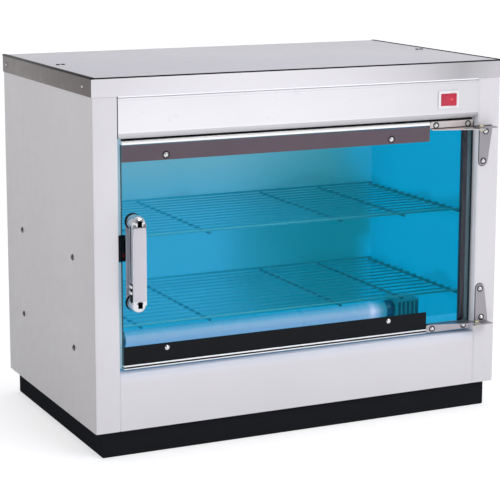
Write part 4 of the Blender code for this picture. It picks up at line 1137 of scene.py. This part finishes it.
def door_stops():
    """The pale strip behind the glass's free edge, parted by the catch and lit by a painted glow,
    and the black one above, which paints the shade of the gap over the door.
    """
    catch_low, catch_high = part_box("magnet_catch")
    left, right = -JAMB + 0.1 * MM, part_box("door_glass")[0].x + STOP_LAP
    blocks = [
        ((left, STOP_FRONT, base), (right, STOP_BACK, top)) for base, top in (
            (RAIL_HIGH.z + 3 * MM, catch_low.z - 1 * MM),
            (catch_high.z + 1 * MM, HEADER_LOW.z - 1 * MM),
        )
    ]
    block_piece("free_side_stop", blocks, STOP_EASE, "cabinet", "black_rubber", STOP_GLOW)
    door_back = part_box("door_top_channel")[1].y
    start = (left, door_back + HEADER_STOP_GAP, HEADER_LOW.z - HEADER_STOP_DROP)
    end = (JAMB, door_back + HEADER_STOP_BACK, HEADER_LOW.z)
    block_piece("header_stop", [(start, end)], STOP_EASE, "cabinet", "black_rubber", RUBBER)


SEAL_SPLIT_SHARE = 0.48
SEAL_LAP = 0.2 * MM
SEAL_FOOT_BACK, SEAL_FOOT_DROP = 3.2 * MM, 7 * MM


def dressed_seal():
    """The two-tone jamb seal, its lip with a painted glow of the lamp's light, with a slimmer foot
    that runs down behind the lower leaf.
    """
    low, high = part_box("jamb_seal")
    split = low.x + (high.x - low.x) * SEAL_SPLIT_SHARE
    lap = split - SEAL_LAP
    back, foot, top = low.y + SEAL_FOOT_BACK, low.z - SEAL_FOOT_DROP, low.z + 1 * MM
    bm = bmesh.new()
    rounded_block(bm, low, (split, high.y, high.z), 0.5 * MM, 2, 0)
    rounded_block(bm, (lap, low.y - 0.3 * MM, low.z), high, 0.8 * MM, 3, 1)
    rounded_block(bm, (low.x, back, foot), (split, high.y, top), 0.5 * MM, 2, 0)
    rounded_block(bm, (lap, back, foot), (high.x, high.y, top), 0.5 * MM, 2, 1)
    settle(finish_mesh(bm, "jamb_seal_dressed", BLOCK_CREASE), "jamb_seal", SEAL_DULL, LAMPLIT_SEAL_LIP)


# Gear and door

MARK_LOW = Vector((0.4, -0.18, 2.5)) * MM
MARK_HIGH = Vector((3.4, 0.2, 7)) * MM


def dressed_gear():
    """The lamp holders, ballast, starter, catch and switch."""
    for side in ("left", "right"):
        dressed_holder(side)
    refined("ballast", ZINC, 0.5 * MM)
    refined("starter", PALE_PLASTIC, 0.5 * MM)
    refined("magnet_catch", BLACK_PLASTIC, 0.3 * MM)
    refined("catch_strike", BLACK_PLASTIC, 0.3 * MM)
    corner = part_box("catch_strike")[0]
    mark = [(corner + MARK_LOW, corner + MARK_HIGH)]
    block_piece("catch_mark", mark, 0.05 * MM, "door", SLOT_OF["catch_strike"], RED_MARK)
    refined("switch_bezel", WHITE_PLASTIC, 0.4 * MM, 3)
    refined("switch_rocker", RED, 0.4 * MM, 3)


CHANNEL_RIDGE_SHARES = {"top": ((0.14, 1.0),), "bottom": ((0.0, 0.26), (0.66, 1.0))}
CORE_INSET = 0.2 * MM
CORE_SET_BACK = 0.9 * MM


def dressed_channel(end):
    """A polished glazing channel with a black core that shows along its grooves as painted shade.
    """
    node = f"door_{end}_channel"
    low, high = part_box(node)
    tall = high.z - low.z
    bm = bmesh.new()
    core_low = low + Vector((CORE_INSET, CORE_SET_BACK, CORE_INSET))
    core_high = high - Vector((CORE_INSET, 0, CORE_INSET))
    rounded_block(bm, core_low, core_high, 0.2 * MM, 2, 1)
    for start, stop in CHANNEL_RIDGE_SHARES[end]:
        first = (low.x, low.y - 0.15 * MM, low.z + tall * start)
        last = (high.x, high.y - 0.4 * MM, low.z + tall * stop)
        rounded_block(bm, first, last, 0.3 * MM, 3, 0)
    settle(finish_mesh(bm, node + "_dressed", BLOCK_CREASE), node, CHANNEL, RUBBER)


OUTLINE_FRONT, OUTLINE_BACK = -176.5 * MM, -176.3 * MM
OUTLINE_RIM = 0.8 * MM


def bracket_shade_outline(end):
    """A thin black pad behind a hinge's bracket, a little larger than it: a painted dark outline of
    shade.
    """
    node = end + "_hinge_bracket"
    bm = cleaned(node)
    low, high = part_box(node)
    centre = (low + high) / 2
    wide = 1 + 2 * OUTLINE_RIM / (high.x - low.x)
    tall = 1 + 2 * OUTLINE_RIM / (high.z - low.z)
    for vert in bm.verts:
        x = centre.x + (vert.co.x - centre.x) * wide
        z = centre.z + (vert.co.z - centre.z) * tall
        vert.co = Vector((x, OUTLINE_FRONT if vert.co.y < centre.y else OUTLINE_BACK, z))
    added(meshed(bm, end + "_bracket_shade_outline"), "cabinet", "black_rubber", RUBBER)


LINE_PROUD, LINE_SUNK = 0.3 * MM, 0.2 * MM
LINE_RISE = 1.7 * MM
LINE_WIDTH = 1.2 * MM
LINE_START, LINE_STOP = 1.5 * MM, 0.3 * MM


def leaf_line():
    """The dark line along the lower edge and the right end of the top leaf: a black strip that
    paints its shadow.
    """
    skin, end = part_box("door_top_channel")
    low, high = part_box("top_hinge_leaf")
    left, right = end.x + LINE_START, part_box("door_glass")[1].x - LINE_STOP
    near, far, level = skin.y - LINE_PROUD, skin.y + LINE_SUNK, low.z + LINE_RISE
    blocks = (
        ((left, near, level), (right, far, level + LINE_WIDTH)),
        ((right - LINE_WIDTH, near, level), (right, far, high.z - 1.8 * MM)),
    )
    block_piece("top_leaf_shadow_line", blocks, LINE_EASE, "door", "black_rubber", RUBBER)


def glass_face(normal, centre):
    """Picks the pane's slots: its broad faces and its cut edges."""
    return 1 if abs(normal.y) < 0.5 and (abs(normal.x) > 0.9 or abs(normal.z) > 0.9) else 0


def dressed_door():
    """The glass with its channels and strips, its hinges and its handle."""
    refined("door_glass", GLASS, 0.4 * MM, pick=glass_face, others=(EDGE_TEAL,))
    dressed_channel("top")
    dressed_channel("bottom")
    refined("door_top_strip", STRIP_TOP_REFLECTION, 0.3 * MM)
    refined("door_bottom_strip", STRIP_LOW, 0.3 * MM)
    outward = (0, -1, 0)
    for end, up, plate in (("top", 1, BRUSHED), ("bottom", -1, BRUSHED_SHADED)):
        refined(end + "_hinge_leaf", plate, 0.25 * MM)
        refined(end + "_hinge_bracket", LEAF, 0.3 * MM)
        bracket_shade_outline(end)
        dressed_pin(end + "_pivot_pin", up)
        for index in (1, 2):
            dressed_screw(f"{end}_hinge_leaf_screw_{index}", outward)
            dressed_screw(f"{end}_hinge_bracket_screw_{index}", outward)
            dressed_screw(f"{end}_strip_screw_{index}", outward, SCREW, STRIP_SCREW_RADIUS)
    leaf_line()
    dressed_handle()


dressed_cap()
dressed_shell()
seam_fillers()
header_seams()
door_stops()
dressed_seal()
dressed_gear()
dressed_door()
dressed_shelf("upper_shelf")
dressed_shelf("lower_shelf")
dressed_lamp()


# Stage, light and camera

FLOOR_HALF = 20.0
FLOOR_FADE = (0.8, 5.0)
FLOOR_GLOW = ((0.0, 0.6), (1.0, 0.8))
ROOM_WAY = (0.3, -0.94, 0.15)
DIM_ROOM = (0.08, 0.08, 0.09, 1.0)
SKY_LEVEL = 0.4
SKY_TONE = (SKY_LEVEL, SKY_LEVEL, SKY_LEVEL * 1.03, 1.0)


def floor():
    """A wide pale floor that brightens a little away from the cabinet."""
    shade = Shade("pale_floor")
    shade.colour(shade.blend(shade.noise(3, detail=3), rgb("c8c8ca"), rgb("cccccf")))
    away = shade.spread(shade.distance((0, 0, 0)), 0.0, 1.0, *FLOOR_FADE)
    shade.glow(shade.ramp(away, levels(FLOOR_GLOW), smooth=True), 1.0)
    shade.set(Roughness=0.9, Specular_IOR_Level=0.1)
    bm = bmesh.new()
    bmesh.ops.create_grid(bm, x_segments=2, y_segments=2, size=FLOOR_HALF)
    obj = meshed(bm, "pale_floor")
    bpy.context.scene.collection.objects.link(obj)
    obj.data.materials.append(shade.material)


def area_light(name, place, target, size, power):
    data = bpy.data.lights.new(name, "AREA")
    data.shape = "RECTANGLE"
    data.size, data.size_y = size
    data.energy = power
    obj = bpy.data.objects.new(name, data)
    bpy.context.scene.collection.objects.link(obj)
    obj.location = place
    obj.rotation_euler = (Vector(target) - Vector(place)).to_track_quat("-Z", "Y").to_euler()


def world():
    """Even pale light from above and behind, and a dim room in front of the cabinet."""
    data = bpy.data.worlds.new("studio")
    bpy.context.scene.world = data
    graph = Graph(data)
    way = graph.node("TexCoord").outputs["Generated"]
    towards = graph.node("VectorMath", operation="DOT_PRODUCT")
    towards.inputs[1].default_value = ROOM_WAY
    graph.link(way, towards.inputs[0])
    split = graph.node("SeparateXYZ")
    graph.link(way, split.inputs["Vector"])
    room = graph.ramp(towards.outputs["Value"], ((0.6, grey(1.0)), (0.9, DIM_ROOM)), smooth=True)
    sky = graph.ramp(split.outputs["Z"], ((0.06, grey(1.0)), (0.3, SKY_TONE)), smooth=True)
    light = graph.mix(room, sky, kind="MULTIPLY")
    graph.link(light, graph.tree.nodes["Background"].inputs["Color"])


CAMERA_PLACE = (-1.038516, -2.170679, 0.713409)
CAMERA_YAW, CAMERA_PITCH, CAMERA_ROLL = 0.4469, -0.1749, 0.002
FOCAL_PIXELS = 1733.85
IMAGE_PIXELS = 500
SENSOR_WIDTH = 36.0
SHIFT_UP = -0.1
FAR_CLIP = 60


def camera():
    """The photograph's camera, solved from the cabinet's corners."""
    flat = math.cos(CAMERA_PITCH)
    forward = Vector(
        (math.sin(CAMERA_YAW) * flat, math.cos(CAMERA_YAW) * flat, math.sin(CAMERA_PITCH))
    )
    level = Vector((math.cos(CAMERA_YAW), -math.sin(CAMERA_YAW), 0))
    rise = level.cross(forward)
    right = level * math.cos(CAMERA_ROLL) + rise * math.sin(CAMERA_ROLL)
    up = rise * math.cos(CAMERA_ROLL) - level * math.sin(CAMERA_ROLL)
    data = bpy.data.cameras.new("camera")
    data.sensor_width = SENSOR_WIDTH
    data.lens = FOCAL_PIXELS / IMAGE_PIXELS * SENSOR_WIDTH
    data.shift_y = SHIFT_UP
    data.clip_end = FAR_CLIP
    obj = bpy.data.objects.new("camera", data)
    bpy.context.scene.collection.objects.link(obj)
    turn = Matrix((right, up, -forward)).transposed().to_4x4()
    obj.matrix_world = Matrix.Translation(CAMERA_PLACE) @ turn
    bpy.context.scene.camera = obj


floor()
world()
area_light("key", (1.2, -2.6, 2.6), target=(0.0, 0.0, 0.25), size=(2.2, 1.8), power=60)
area_light("top", (0.0, 0.4, 2.6), target=(0.0, 0.0, 0.3), size=(2.4, 2.0), power=23)
camera()
bpy.context.scene.view_settings.view_transform = "Standard"
